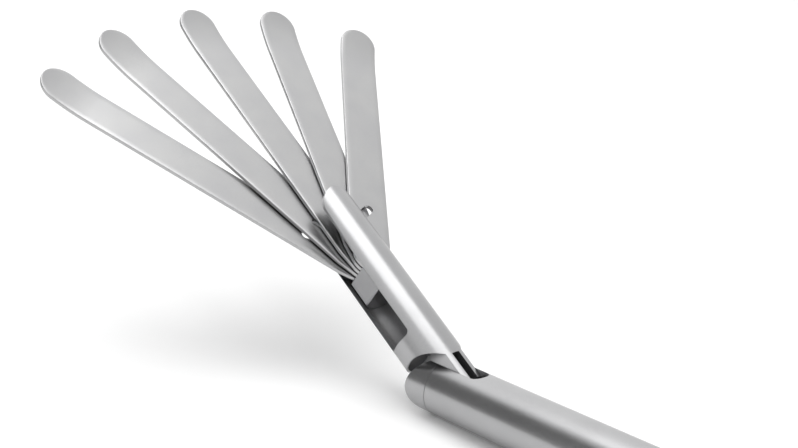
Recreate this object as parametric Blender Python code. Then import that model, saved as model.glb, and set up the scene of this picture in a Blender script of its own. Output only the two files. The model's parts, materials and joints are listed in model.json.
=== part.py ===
"""Fan retractor for keyhole surgery: five blades on an angled head, a 10 mm shaft and an in-line handle.

The origin is the centre of the handle's end face. +X points out of that face, so the fan is at -X, and
+Z is up: the head bends towards +Z in the XZ plane. Sizes below are in millimetres.
"""
import math

import bmesh
import bpy
from mathutils import Matrix, Vector

MM = 0.001

# Fit between pieces
SEAT_GAP = 0.05
RUN_GAP = 0.05
FACE_GAP = 0.3
SEAM_GAP = 0.08

# Joint between head and shaft
BEND_DEG = 34.1
HINGE_PIN_R = 1.2
CRANK_R = 2.7
CRANK_PIN_R = 0.6
CRANK_SLACK = 0.09

# Head: a bored bar, slotted into two tongues, with a tang of two plates
HEAD_R = 5.0
HEAD_BORE_R = 4.3
HEAD_LENGTH = 43.5
HEAD_RIM = 8.4
RIM_CURVE_CENTRE = 3.6
RIM_CURVE_HEIGHT = 5.0
RELIEF_R = 4.65
RELIEF_END = 11.6
SIDE_SLOT_TOP = 2.9
SIDE_SLOT_BOTTOM = 3.1
SIDE_SLOT_START = 12.2
SIDE_SLOT_CORNER_R = 0.9
TONGUE_ROOT_HALF = 4.15
TONGUE_TIP_HALF = 3.62
TONGUE_TIP_ROUND = 4.0
TANG_HALF = 1.9
TANG_SLOT_HALF = 0.83
TANG_SLOT_START = 5.15
TANG_FRONT = 7.7
TANG_HEEL = 0.4
TANG_BOTTOM = 2.2
TANG_DISC_R = 3.75
TANG_ROOF = 3.9
TANG_ROOT_END = 11.4
TANG_ROOT_BOTTOM = 3.0

# Drive block and the pivot of the fan
BLOCK_REAR = 22.1
BLOCK_FRONT = 27.05
BLOCK_FLAT_HALF = 3.5
BLOCK_CHAMFER = 0.25
PIVOT = 28.87
PIVOT_PIN_R = 0.9
LUG_R = 1.6
GUIDE_PIN_R = 0.8
GUIDE_PIN_FROM_PIVOT = 2.7
BLIND_HOLE_DEPTH = 0.4

# Blades, from the lowest to the highest, and how far the block travels to close them
BLADE_ANGLES_DEG = (-34.5, -18.5, 0.0, 17.0, 34.0)
BLADE_LENGTH = 65.3
BLADE_WIDTH = 7.8
BLADE_THICKNESS = 0.7
BLADE_PITCH = 0.9
STACK_CENTRE = 0.3
BLADE_TAIL_R = 3.4
BLADE_TAPER_END = 3.5
BLADE_TIP_RISE = 1.3
BLADE_TIP_CURVE = 11.0
CAM_SLOT_HALF = 0.93
FAN_TRAVEL = 9.0

# Shaft
SHAFT_R = 5.0
SHAFT_BORE_R = 4.3
SHAFT_LENGTH = 250.0
SEAM = 3.5
NOSE_TIP = 7.9
NOSE_CURVE_CENTRE = 3.3
NOSE_CURVE_HEIGHT = 5.05
EAR_LENGTH = 4.4
NOSE_FLOOR = 2.5
NOSE_FLOOR_END = 4.3
TOP_OPENING_STRAIGHT = 3.6

# Rods and cable
CABLE_R = 0.75
CABLE_FRONT = 14.0
CABLE_REAR = 6.0
CABLE_BEND_START = 4.5
DRIVE_ROD_R = 1.5
ANGLE_TUBE_R = 2.5
ANGLE_TUBE_BORE_R = 1.7
YOKE_HALF = 0.7
YOKE_FRONT = 1.7
YOKE_TOP = 1.8
YOKE_BOTTOM = 4.05
YOKE_RING_START = 6.9
YOKE_RING_LENGTH = 4.1
YOKE_SOCKET = 2.0
ANGLE_TRAVEL = 1.75

# Handle, measured back from the collar's front face
HANDLE_LENGTH = 160.0
END_CAP_LENGTH = 16.5
HANDLE_FLATS = 24.0
HANDLE_CORNER_R = 12.7
HANDLE_CHAMFER = 1.0
COLLAR_LENGTH = 9.0
COLLAR_FLATS = 15.0
FRONT_NOSE_R = 7.6
FRONT_CONE_END = 29.0
TUBE_END_IN_HANDLE = 19.7
SEAL_LENGTH = 2.0
SEAL_R = 5.9
CORE_R = 6.0
CORE_BORE_R = 4.6
CORE_END_SINK = 8.0
WASHER_THICKNESS = 0.8
WASHER_GAP = 0.1
WASHER_R = 10.4
ANGLE_WHEEL_START = 38.5
ANGLE_WHEEL_WIDTH = 13.0
FAN_WHEEL_WIDTH = 17.0
WHEEL_R = 11.6
WHEEL_FLUTES = 16
WHEEL_FLUTE_DEPTH = 0.9
WHEEL_WALL = 1.6
GROOVE_R = 8.0
DRIVE_PIN_R = 1.2
DRIVE_PIN_REACH = 7.7
CARRIER_R = 4.5
ANGLE_CARRIER_LENGTH = 6.0
FAN_CARRIER_LENGTH = 5.6
SET_SCREW_R = 1.5
SET_SCREW_SINK = 0.4
SET_SCREW_FROM_EDGE = 4.5

HINGE_X = -(SHAFT_LENGTH + HANDLE_LENGTH)
WHEEL_CLEAR = WASHER_THICKNESS + 2 * WASHER_GAP
GRIP_START = ANGLE_WHEEL_START + ANGLE_WHEEL_WIDTH + WHEEL_CLEAR
CAP_START = HANDLE_LENGTH - END_CAP_LENGTH
FAN_WHEEL_START = CAP_START - WHEEL_CLEAR - FAN_WHEEL_WIDTH
SEAL_START = TUBE_END_IN_HANDLE + FACE_GAP
CORE_START = SEAL_START + SEAL_LENGTH + FACE_GAP
CORE_END = HANDLE_LENGTH - CORE_END_SINK
STACK_TOP = STACK_CENTRE + 2 * BLADE_PITCH + BLADE_THICKNESS / 2
STACK_BOTTOM = STACK_CENTRE - 2 * BLADE_PITCH - BLADE_THICKNESS / 2
BLOCK_R = HEAD_BORE_R - 0.1
GUIDE_PIN = PIVOT + GUIDE_PIN_FROM_PIVOT
CRANK_X = CRANK_R * math.sin(math.radians(BEND_DEG))
CRANK_Z = -CRANK_R * math.cos(math.radians(BEND_DEG))


def clear_scene():
    """Remove every object that the file starts with."""
    for item in list(bpy.data.objects):
        bpy.data.objects.remove(item, do_unlink=True)


def material(name, colour, roughness, metallic=1.0):
    """Make a plain Principled material."""
    mat = bpy.data.materials.new(name)
    mat.use_nodes = True
    shader = mat.node_tree.nodes["Principled BSDF"]
    shader.inputs["Base Color"].default_value = (*colour, 1.0)
    shader.inputs["Roughness"].default_value = roughness
    shader.inputs["Metallic"].default_value = metallic
    return mat


def empty(name, place, turn=(0.0, 0.0, 0.0), parent=None):
    """Make an empty on a joint's axis, for the pieces that turn with it."""
    item = bpy.data.objects.new(name, None)
    item.location = Vector(place) * MM
    item.rotation_euler = turn
    item.parent = parent
    bpy.context.scene.collection.objects.link(item)
    return item


def finish(name, bm, mat=None, parent=None, smooth=True):
    """Turn a bmesh in millimetres into an object in metres, shaded smooth if it is a turned form."""
    bmesh.ops.recalc_face_normals(bm, faces=bm.faces)
    bmesh.ops.scale(bm, vec=(MM, MM, MM), verts=bm.verts)
    mesh = bpy.data.meshes.new(name)
    bm.to_mesh(mesh)
    bm.free()
    if smooth:
        mesh.shade_smooth()
        mesh.set_sharp_from_angle(angle=math.radians(35))
    item = bpy.data.objects.new(name, mesh)
    if mat:
        mesh.materials.append(mat)
    item.parent = parent
    bpy.context.scene.collection.objects.link(item)
    return item


def arc(centre, radii, start_deg, end_deg, steps):
    """Points of an elliptical arc, from one angle to the other, both ends included."""
    points = []
    for step in range(steps + 1):
        angle = math.radians(start_deg + (end_deg - start_deg) * step / steps)
        points.append((centre[0] + radii[0] * math.cos(angle), centre[1] + radii[1] * math.sin(angle)))
    return points


def box_outline(low, high):
    """Corners of a rectangle, given by its lowest and highest corner."""
    return [(low[0], low[1]), (high[0], low[1]), (high[0], high[1]), (low[0], high[1])]


def stadium(start, end, half, steps=8):
    """Outline of a slot with round ends, between two centres on a line along the first axis."""
    front = arc((start, 0.0), (half, half), 90, 270, steps)
    return front + arc((end, 0.0), (half, half), -90, 90, steps)


def polygon(flats, sides):
    """Outline of a regular polygon of the given width across flats, with a flat at the bottom."""
    corner = flats / 2 / math.cos(math.pi / sides)
    turn = [math.pi * (2 * side + 1) / sides for side in range(sides)]
    return [(corner * math.sin(angle), corner * math.cos(angle)) for angle in turn]


def extruded(name, outline, low, high, along="z", mat=None, parent=None):
    """Extrude an outline along one axis. It lies in XY for z, in XZ for y and in YZ for x."""
    places = {
        "z": lambda a, b, c: (a, b, c),
        "y": lambda a, b, c: (a, c, b),
        "x": lambda a, b, c: (c, a, b),
    }
    place = places[along]
    bm = bmesh.new()
    lower = [bm.verts.new(place(a, b, low)) for a, b in outline]
    upper = [bm.verts.new(place(a, b, high)) for a, b in outline]
    count = len(outline)
    bm.faces.new(lower)
    bm.faces.new(upper)
    for i in range(count):
        j = (i + 1) % count
        bm.faces.new((lower[i], lower[j], upper[j], upper[i]))
    return finish(name, bm, mat, parent, smooth=False)


def turned(name, profile, mat=None, parent=None, segments=48, centre=(0.0, 0.0, 0.0)):
    """Revolve a closed profile of (x, radius) points about the X axis through a centre."""
    bm = bmesh.new()
    rings = []
    for x, radius in profile:
        ring = []
        for step in range(segments):
            angle = 2 * math.pi * (step + 0.5) / segments
            y, z = radius * math.sin(angle), radius * math.cos(angle)
            ring.append(bm.verts.new((centre[0] + x, centre[1] + y, centre[2] + z)))
        rings.append(ring)
    for near, far in zip(rings, rings[1:] + rings[:1]):
        for i in range(segments):
            j = (i + 1) % segments
            bm.faces.new((near[i], near[j], far[j], far[i]))
    bmesh.ops.remove_doubles(bm, verts=bm.verts, dist=1e-5)
    return finish(name, bm, mat, parent)


def bar(name, start, end, radius, bore=0.0, mat=None, parent=None, segments=48):
    """A round bar or tube along X."""
    profile = [(start, bore), (start, radius), (end, radius), (end, bore)]
    return turned(name, profile, mat, parent, segments)


def peg(name, centre, radius, low, high, along, mat=None, parent=None, segments=24):
    """A round pin along y or z through a centre in the other two directions."""
    outline = arc(centre, (radius, radius), 0, 360 - 360 / segments, segments - 1)
    return extruded(name, outline, low, high, along, mat, parent)


def combine(target, tool, operation):
    """Cut, join or trim a piece with another one, which becomes a hidden guide."""
    modifier = target.modifiers.new(tool.name, "BOOLEAN")
    modifier.operation = operation
    modifier.object = tool
    tool.hide_render = True
    tool.display_type = "WIRE"


def cut(target, tool):
    combine(target, tool, "DIFFERENCE")


def trim(target, tool):
    combine(target, tool, "INTERSECT")


def join(target, tool):
    combine(target, tool, "UNION")


def pegs(name, ends, radius, centre, mat, parent, segments=24):
    """Pins along y, one for each pair of ends."""
    for number, (low, high) in enumerate(ends, start=1):
        peg(f"{name}_{number}", centre, radius, low, high, "y", mat, parent, segments)


# Head


def make_head(mat, parent):
    """Bored bar with a side slot that leaves two round-ended tongues, and a slotted tang behind."""
    head = bar("head", -HEAD_LENGTH - 1, -4.4, HEAD_R, HEAD_BORE_R, mat, parent, 64)

    cut(head, bar("head_relief", -RELIEF_END, -4, RELIEF_R, parent=parent, segments=64))

    corner = SIDE_SLOT_CORNER_R
    slot = [(-HEAD_LENGTH - 3, -SIDE_SLOT_BOTTOM)]
    slot += arc((-SIDE_SLOT_START - corner, -SIDE_SLOT_BOTTOM + corner), (corner, corner), -90, 0, 6)
    slot += arc((-SIDE_SLOT_START - corner, SIDE_SLOT_TOP - corner), (corner, corner), 0, 90, 6)
    slot += [(-HEAD_LENGTH - 3, SIDE_SLOT_TOP)]
    cut(head, extruded("head_side_slot", slot, -6, 6, "y", parent=parent))

    reach = HEAD_RIM - RIM_CURVE_CENTRE
    rim = [(6, -7), (-HEAD_RIM, -7)]
    rim += arc((-RIM_CURVE_CENTRE, 0), (reach, RIM_CURVE_HEIGHT), 180, 112, 14)
    rim += [(rim[-1][0], 7), (6, 7)]
    cut(head, extruded("head_rim_cut", rim, -6, 6, "y", parent=parent))

    round_start = HEAD_LENGTH - TONGUE_TIP_ROUND
    plan = [(0, -5.4), (-SIDE_SLOT_START - 6, -5.4), (-SIDE_SLOT_START - 6, -TONGUE_ROOT_HALF)]
    plan += arc((-round_start, 0), (TONGUE_TIP_ROUND, TONGUE_TIP_HALF), 270, 90, 24)
    plan += [(-SIDE_SLOT_START - 6, TONGUE_ROOT_HALF), (-SIDE_SLOT_START - 6, 5.4), (0, 5.4)]
    trim(head, extruded("head_plan", plan, -6, 6, "z", parent=parent))

    disc_start = math.degrees(math.acos(TANG_HEEL / TANG_DISC_R))
    disc_end = -180 + math.degrees(math.asin(TANG_BOTTOM / TANG_DISC_R))
    side = [(-TANG_FRONT, -TANG_BOTTOM), (-TANG_FRONT, TANG_ROOT_BOTTOM), (-TANG_ROOT_END, TANG_ROOT_BOTTOM),
            (-TANG_ROOT_END, 5.4), (TANG_HEEL, 5.4)]
    side += arc((0, 0), (TANG_DISC_R, TANG_DISC_R), disc_start, disc_end, 24)
    tang = extruded("head_tang", side, -TANG_HALF, TANG_HALF, "y", parent=parent)
    trim(tang, bar("head_tang_round", -14, 8, HEAD_R, parent=parent, segments=64))
    join(head, tang)

    half = TANG_SLOT_HALF
    open_slot = box_outline((-TANG_SLOT_START, -half), (6, half))
    cut(head, extruded("head_tang_slot", open_slot, -6, 6, "z", parent=parent))
    roofed_slot = box_outline((-TANG_FRONT - 1, -half), (-TANG_SLOT_START + 1, half))
    cut(head, extruded("head_tang_inner_slot", roofed_slot, -6, TANG_ROOF, "z", parent=parent))

    cut(head, peg("head_hinge_hole", (0, 0), HINGE_PIN_R + RUN_GAP, -3, 3, "y", parent=parent))
    crank = (CRANK_X, CRANK_Z)
    cut(head, peg("head_crank_hole", crank, CRANK_PIN_R + SEAT_GAP, -3, 3, "y", parent=parent))
    hole_r = GUIDE_PIN_R + SEAT_GAP
    blind_top = HEAD_BORE_R + BLIND_HOLE_DEPTH
    cut(head, peg("head_guide_hole", (-GUIDE_PIN, 0), hole_r, -6, blind_top, "z", parent=parent))
    return head


def make_guide_pin(mat, parent):
    """Pin across the tongues that runs in the blades' cam slots."""
    top = HEAD_BORE_R + BLIND_HOLE_DEPTH - SEAT_GAP
    return peg("guide_pin", (-GUIDE_PIN, 0), GUIDE_PIN_R, -HEAD_R + 0.1, top, "z", mat, parent)


def make_crank_pin(mat, parent):
    """Pin across the tang's plates that the angle yoke pushes."""
    reach = TANG_HALF - SEAT_GAP
    return peg("crank_pin", (CRANK_X, CRANK_Z), CRANK_PIN_R, -reach, reach, "y", mat, parent)


def make_block(mat, parent):
    """Block that slides in the head's bore, with a round pocket for the blades' tails and two lugs."""
    flat, chamfer = BLOCK_FLAT_HALF, BLOCK_CHAMFER
    near_side = [(-BLOCK_REAR, flat - chamfer), (-BLOCK_REAR - chamfer, flat), (-BLOCK_FRONT, flat)]
    far_side = [(x, -y) for x, y in reversed(near_side)]
    lug = arc((-PIVOT, 0), (LUG_R, LUG_R), 90, 270, 12)
    block = extruded("drive_block", near_side + [(-BLOCK_FRONT, LUG_R)] + lug + [(-BLOCK_FRONT, -LUG_R)]
                     + far_side, -5, 5, "z", mat, parent)
    trim(block, bar("block_round", -PIVOT - 4, -BLOCK_REAR + 2, BLOCK_R, parent=parent))
    pocket_r = BLADE_TAIL_R + 0.15
    pocket = peg("block_pocket", (-PIVOT, 0), pocket_r, STACK_BOTTOM - 0.15, STACK_TOP + 0.15, "z",
                 parent=parent, segments=48)
    cut(block, pocket)
    cut(block, peg("block_pin_hole", (-PIVOT, 0), PIVOT_PIN_R + SEAT_GAP, -5, 5, "z", parent=parent))
    socket_end = BLOCK_REAR + 2.2
    cut(block, bar("block_rod_socket", -socket_end, -BLOCK_REAR + 1, CABLE_R + SEAT_GAP, parent=parent,
                   segments=24))
    return block


def make_pivot_pin(mat, parent):
    """Pin through the block's lugs that the blades turn on."""
    end = math.sqrt(BLOCK_R ** 2 - (PIVOT_PIN_R + SEAT_GAP) ** 2) - 0.05
    return peg("pivot_pin", (-PIVOT, 0), PIVOT_PIN_R, -end, end, "z", mat, parent)


# Blades


def blade_outline():
    """Plan of a blade: round tip, straight sides and a round, slightly narrower tail."""
    half = BLADE_WIDTH / 2
    tip = arc((-BLADE_LENGTH + half, 0), (half, half), 90, 270, 20)
    tail = arc((0, 0), (BLADE_TAIL_R, BLADE_TAIL_R), -84, 84, 14)
    return tip + [(-BLADE_TAPER_END, -half)] + tail + [(-BLADE_TAPER_END, half)]


def cam_slot_outline(spread_deg):
    """Outline of the slot that turns a blade by its spread while the pivot moves by the fan's travel.

    The centre line is a spiral about the pivot: its radius grows by as much as the block moves, and its
    angle shrinks evenly from the blade's spread to nothing.
    """
    steps = 16
    centre, heading = [], []
    for step in range(-1, steps + 2):
        share = step / steps
        radius = GUIDE_PIN_FROM_PIVOT + FAN_TRAVEL * share
        angle = -math.radians(spread_deg) * (1 - share)
        centre.append(Vector((-radius * math.cos(angle), radius * math.sin(angle))))
    for before, after in zip(centre, centre[2:]):
        heading.append((after - before).normalized())
    centre = centre[1:-1]
    side = [Vector((-direction.y, direction.x)) * CAM_SLOT_HALF for direction in heading]
    left = [place + offset for place, offset in zip(centre, side)]
    right = [place - offset for place, offset in zip(centre, side)]

    def cap(place, offset, steps=8):
        """Half circle from place + offset round to place - offset."""
        turns = [math.pi * (step + 1) / steps for step in range(steps - 1)]
        return [place + Matrix.Rotation(-turn, 2) @ offset for turn in turns]

    return left + cap(centre[-1], side[-1]) + right[::-1] + cap(centre[0], -side[0])


def make_blade(number, spread_deg, mat, parent):
    """Flat strip with a cam slot and a pivot hole, whose last part curves up."""
    middle = STACK_CENTRE + (number - 3) * BLADE_PITCH
    low, high = middle - BLADE_THICKNESS / 2, middle + BLADE_THICKNESS / 2
    name = f"blade_{number}"
    curve_start = BLADE_LENGTH - BLADE_TIP_CURVE
    blade = extruded(name, blade_outline(), low, high, "z", mat, parent)
    blade.rotation_euler = (0, 0, -math.radians(spread_deg))

    bm = bmesh.new()
    bm.from_mesh(blade.data)
    steps = 7
    for step in range(steps):
        place = Vector((-(curve_start + BLADE_TIP_CURVE * step / steps) * MM, 0, 0))
        everything = bm.verts[:] + bm.edges[:] + bm.faces[:]
        bmesh.ops.bisect_plane(bm, geom=everything, dist=1e-7, plane_co=place, plane_no=(1, 0, 0))
    for vert in bm.verts:
        past = max(0.0, -vert.co.x / MM - curve_start) / BLADE_TIP_CURVE
        vert.co.z += BLADE_TIP_RISE * past ** 2 * MM
    bm.to_mesh(blade.data)
    bm.free()

    hole = peg(f"{name}_pivot_hole", (0, 0), PIVOT_PIN_R + 0.1, low - 1, high + 1, "z", parent=blade)
    cut(blade, hole)
    slot = [tuple(point) for point in cam_slot_outline(spread_deg)]
    cut(blade, extruded(f"{name}_cam_slot", slot, low - 1, high + 1, "z", parent=blade))
    return blade


# Shaft


def make_nose(mat, parent):
    """End piece with a rounded nose and two ears that reach into the shaft tube."""
    spigot_r = SHAFT_BORE_R - SEAT_GAP
    profile = [(-NOSE_TIP - 1, 0), (-NOSE_TIP - 1, SHAFT_R), (-SEAM, SHAFT_R), (-SEAM, spigot_r),
               (EAR_LENGTH, spigot_r), (EAR_LENGTH, 0)]
    nose = turned("shaft_nose", profile, mat, parent, 64)
    reach = NOSE_TIP - NOSE_CURVE_CENTRE
    side = arc((-NOSE_CURVE_CENTRE, 0), (reach, NOSE_CURVE_HEIGHT), 90, 270, 24)
    side += [(EAR_LENGTH + 1, -NOSE_CURVE_HEIGHT), (EAR_LENGTH + 1, NOSE_CURVE_HEIGHT)]
    trim(nose, extruded("nose_side", side, -6, 6, "y", parent=parent))
    slot_half = TANG_HALF + RUN_GAP
    slot = [(-NOSE_TIP - 2, -NOSE_FLOOR), (-NOSE_FLOOR_END, -NOSE_FLOOR), (-NOSE_FLOOR_END, -6),
            (EAR_LENGTH + 2, -6), (EAR_LENGTH + 2, 6), (-NOSE_TIP - 2, 6)]
    cut(nose, extruded("nose_slot", slot, -slot_half, slot_half, "y", parent=parent))
    cut(nose, peg("nose_hinge_hole", (0, 0), HINGE_PIN_R + SEAT_GAP, -6, 6, "y", parent=parent))
    return nose


def make_shaft_tube(mat, parent):
    """Tube with a round-ended opening on top, where the tang goes in."""
    end = SHAFT_LENGTH + TUBE_END_IN_HANDLE
    tube = bar("shaft_tube", -SEAM + SEAM_GAP, end, SHAFT_R, SHAFT_BORE_R, mat, parent, 64)
    half = TANG_HALF + RUN_GAP
    opening = stadium(-SEAM - 3, TOP_OPENING_STRAIGHT, half, 12)
    cut(tube, extruded("tube_top_opening", opening, 1, 6, "z", parent=parent))
    return tube


def make_hinge_pins(mat, parent):
    """Two short pins, one in each ear, that leave the middle free for the cable."""
    inner = CABLE_R + 0.15
    outer = math.sqrt(SHAFT_BORE_R ** 2 - HINGE_PIN_R ** 2) - 0.1
    pegs("hinge_pin", ((-outer, -inner), (inner, outer)), HINGE_PIN_R, (0, 0), mat, parent)


def make_yoke(mat, parent):
    """Flat fork under the cable that pushes the crank pin, on a ring that slides in the shaft tube."""
    notch = CRANK_PIN_R + CRANK_SLACK
    bottom = -CRANK_R - CRANK_PIN_R - 0.15
    side = [(-YOKE_FRONT, -YOKE_BOTTOM), (YOKE_RING_START + 0.5, -YOKE_BOTTOM),
            (YOKE_RING_START + 0.5, -YOKE_TOP), (notch, -YOKE_TOP)]
    side += arc((0, bottom + notch), (notch, notch), 0, -180, 8)
    side += [(-notch, -YOKE_TOP), (-YOKE_FRONT, -YOKE_TOP)]
    yoke = extruded("angle_yoke", side, -YOKE_HALF, YOKE_HALF, "y", mat, parent)
    start, end = YOKE_RING_START, YOKE_RING_START + YOKE_RING_LENGTH
    bore = DRIVE_ROD_R + 0.25
    socket = ANGLE_TUBE_R + SEAT_GAP
    ring = [(start, bore), (start, SHAFT_BORE_R - 0.1), (end, SHAFT_BORE_R - 0.1), (end, socket),
            (end - YOKE_SOCKET, socket), (end - YOKE_SOCKET, bore)]
    join(yoke, turned("yoke_ring", ring, parent=parent))
    return yoke


def make_angle_tube(mat, parent):
    """Tube that carries the yoke and slides in the shaft."""
    start = YOKE_RING_START + YOKE_RING_LENGTH - YOKE_SOCKET + FACE_GAP
    end = SHAFT_LENGTH + ANGLE_WHEEL_START + ANGLE_WHEEL_WIDTH / 2 + ANGLE_CARRIER_LENGTH / 2
    return bar("angle_tube", start, end, ANGLE_TUBE_R, ANGLE_TUBE_BORE_R, mat, parent, 32)


def make_drive_rod(mat, parent):
    """Rod through the angle tube, from the cable to the fan carrier."""
    end = SHAFT_LENGTH + FAN_WHEEL_START + WHEEL_WALL + FAN_CARRIER_LENGTH + 1
    return bar("drive_rod", CABLE_REAR + FACE_GAP, end, DRIVE_ROD_R, mat=mat, parent=parent, segments=24)


def make_head_rod(mat, parent):
    """Stiff ferrule on the cable's front end, fixed in the drive block."""
    start = -(BLOCK_REAR + 2.2 - SEAT_GAP)
    return bar("cable_ferrule", start, -CABLE_FRONT, CABLE_R, mat=mat, parent=parent, segments=16)


def make_cable(mat):
    """Flexible cable through the joint, on a smooth bend between the head's axis and the shaft's."""
    bend = math.radians(BEND_DEG)
    out = Vector((-math.cos(bend), 0, math.sin(bend)))
    corner = Vector((HINGE_X, 0, 0))
    front, rear = CABLE_FRONT - FACE_GAP, CABLE_REAR
    start, end = corner + out * front, corner + Vector((rear, 0, 0))
    first, last = corner + out * CABLE_BEND_START, corner + Vector((CABLE_BEND_START, 0, 0))
    points = [start, start.lerp(first, 0.5)]
    steps = 10
    for step in range(steps + 1):
        t = step / steps
        points.append(first * (1 - t) ** 2 + corner * 2 * t * (1 - t) + last * t ** 2)
    points.append(end)
    curve = bpy.data.curves.new("drive_cable", "CURVE")
    curve.dimensions = "3D"
    curve.bevel_depth = CABLE_R * MM
    curve.bevel_resolution = 2
    curve.use_fill_caps = True
    spline = curve.splines.new("POLY")
    spline.points.add(len(points) - 1)
    for item, point in zip(spline.points, points):
        item.co = (*(point * MM), 1.0)
    curve.materials.append(mat)
    cable = bpy.data.objects.new("drive_cable", curve)
    bpy.context.scene.collection.objects.link(cable)
    return cable


# Handle


def handle_envelope(name, start, end, nose=None, parent=None):
    """Turned form that rounds an eight-sided bar's corners and chamfers its ends."""
    radius, chamfer = HANDLE_CORNER_R, HANDLE_CHAMFER
    profile = [(start, 0)]
    if nose:
        profile += [(start, nose[0] - 0.6), (start + 0.6, nose[0]), (nose[1], radius)]
    else:
        profile += [(start, radius - chamfer), (start + chamfer, radius)]
    profile += [(end - chamfer, radius), (end, radius - chamfer), (end, 0)]
    return turned(name, profile, parent=parent)


def handle_section(name, start, end, bores, mat, parent, nose=None):
    """Eight-sided section of the handle, with round bores given as (start, end, radius)."""
    section = extruded(name, polygon(HANDLE_FLATS, 8), start - 1, end + 1, "x", mat, parent)
    trim(section, handle_envelope(f"{name}_envelope", start, end, nose, parent))
    for number, (bore_start, bore_end, radius) in enumerate(bores):
        cut(section, bar(f"{name}_bore_{number}", bore_start, bore_end, radius, parent=parent))
    return section


def make_collar(mat, parent):
    """Six-sided nut that clamps the shaft tube in the handle."""
    collar = extruded("collar_nut", polygon(COLLAR_FLATS, 6), -1, COLLAR_LENGTH + 1, "x", mat, parent)
    corner = COLLAR_FLATS / 2 / math.cos(math.pi / 6) - 0.25
    profile = [(0, 0), (0, corner - 1.2), (1.2, corner), (COLLAR_LENGTH - 0.6, corner),
               (COLLAR_LENGTH, corner - 0.6), (COLLAR_LENGTH, 0)]
    trim(collar, turned("collar_envelope", profile, parent=parent))
    cut(collar, bar("collar_bore", -2, COLLAR_LENGTH + 2, SHAFT_R + SEAT_GAP, parent=parent))
    return collar


def make_wheel(name, start, width, mat, parent):
    """Fluted wheel with an inner groove, in which the carrier's pins run."""
    count = WHEEL_FLUTES * 6
    outline = []
    for step in range(count):
        angle = 2 * math.pi * step / count
        dip = WHEEL_FLUTE_DEPTH * (0.5 - 0.5 * math.cos(WHEEL_FLUTES * angle)) ** 2
        outline.append(((WHEEL_R - dip) * math.sin(angle), (WHEEL_R - dip) * math.cos(angle)))
    wheel = extruded(name, outline, start - 1, start + width + 1, "x", mat, parent)
    chamfer = 1.0
    end, crest = start + width, WHEEL_R + 0.02
    profile = [(start, 0), (start, WHEEL_R - chamfer), (start + chamfer, crest),
               (end - chamfer, crest), (end, WHEEL_R - chamfer), (end, 0)]
    trim(wheel, turned(f"{name}_envelope", profile, parent=parent))
    bore = CORE_R + 0.15
    groove_start, groove_end = start + WHEEL_WALL, start + width - WHEEL_WALL
    inside = [(start - 1, 0), (start - 1, bore), (groove_start, bore), (groove_start, GROOVE_R),
              (groove_end, GROOVE_R), (groove_end, bore), (start + width + 1, bore), (start + width + 1, 0)]
    cut(wheel, turned(f"{name}_inside", inside, parent=parent))
    return wheel


def make_core(angle_middle, fan_middle, mat, parent):
    """Tube that the wheels turn on, with slots for the carriers' pins."""
    core = bar("core_tube", CORE_START, CORE_END, CORE_R, CORE_BORE_R, mat, parent)
    half = DRIVE_PIN_R + 0.15
    spans = (
        (angle_middle - ANGLE_TRAVEL - 0.15, angle_middle + ANGLE_TRAVEL + 0.15),
        (fan_middle - 0.15, fan_middle + FAN_TRAVEL + 0.15),
    )
    for number, (start, end) in enumerate(spans):
        cut(core, extruded(f"core_slot_{number}", stadium(start, end, half), -8, 8, "y", parent=parent))
    return core


def make_carrier(name, middle, length, bore, mat, parent):
    """Sleeve in the core tube that a wheel's groove moves along."""
    carrier = bar(name, middle - length / 2, middle + length / 2, CARRIER_R, bore, mat, parent, 32)
    cut(carrier, peg(f"{name}_pin_hole", (middle, 0), DRIVE_PIN_R + SEAT_GAP, -6, 6, "y", parent=parent))
    return carrier


def make_drive_pins(name, middle, inner, mat, parent):
    """The two pins that stand out of a carrier into its wheel's groove."""
    reach = DRIVE_PIN_REACH
    pegs(name, ((-reach, -inner), (inner, reach)), DRIVE_PIN_R, (middle, 0), mat, parent, 16)


def make_washers(mat, parent):
    """Thrust washers at both sides of each wheel."""
    wheels = (("angle", ANGLE_WHEEL_START, ANGLE_WHEEL_WIDTH), ("fan", FAN_WHEEL_START, FAN_WHEEL_WIDTH))
    for wheel, start, width in wheels:
        before = start - WASHER_GAP - WASHER_THICKNESS
        after = start + width + WASHER_GAP
        for side, low in (("front", before), ("rear", after)):
            high = low + WASHER_THICKNESS
            bar(f"{wheel}_washer_{side}", low, high, WASHER_R, CORE_R + WASHER_GAP, mat, parent, 32)


def make_set_screws(front, grip, cap, mat, parent):
    """Set screws that hold the handle's sections on the core tube, and their holes."""
    low, high = CORE_R + FACE_GAP, HANDLE_FLATS / 2 - SET_SCREW_SINK
    places = (
        (front, ANGLE_WHEEL_START - WHEEL_CLEAR - SET_SCREW_FROM_EDGE),
        (grip, GRIP_START + SET_SCREW_FROM_EDGE),
        (cap, CAP_START + SET_SCREW_FROM_EDGE),
    )
    for number, (section, place) in enumerate(places, start=1):
        name = f"set_screw_{number}"
        hole_r = SET_SCREW_R + SEAT_GAP
        hole = peg(f"{name}_hole", (place, 0), hole_r, CORE_R / 2, HANDLE_FLATS / 2 + 2, "z", parent=parent)
        cut(section, hole)
        peg(name, (place, 0), SET_SCREW_R, low, high, "z", mat, parent, 16)


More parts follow.
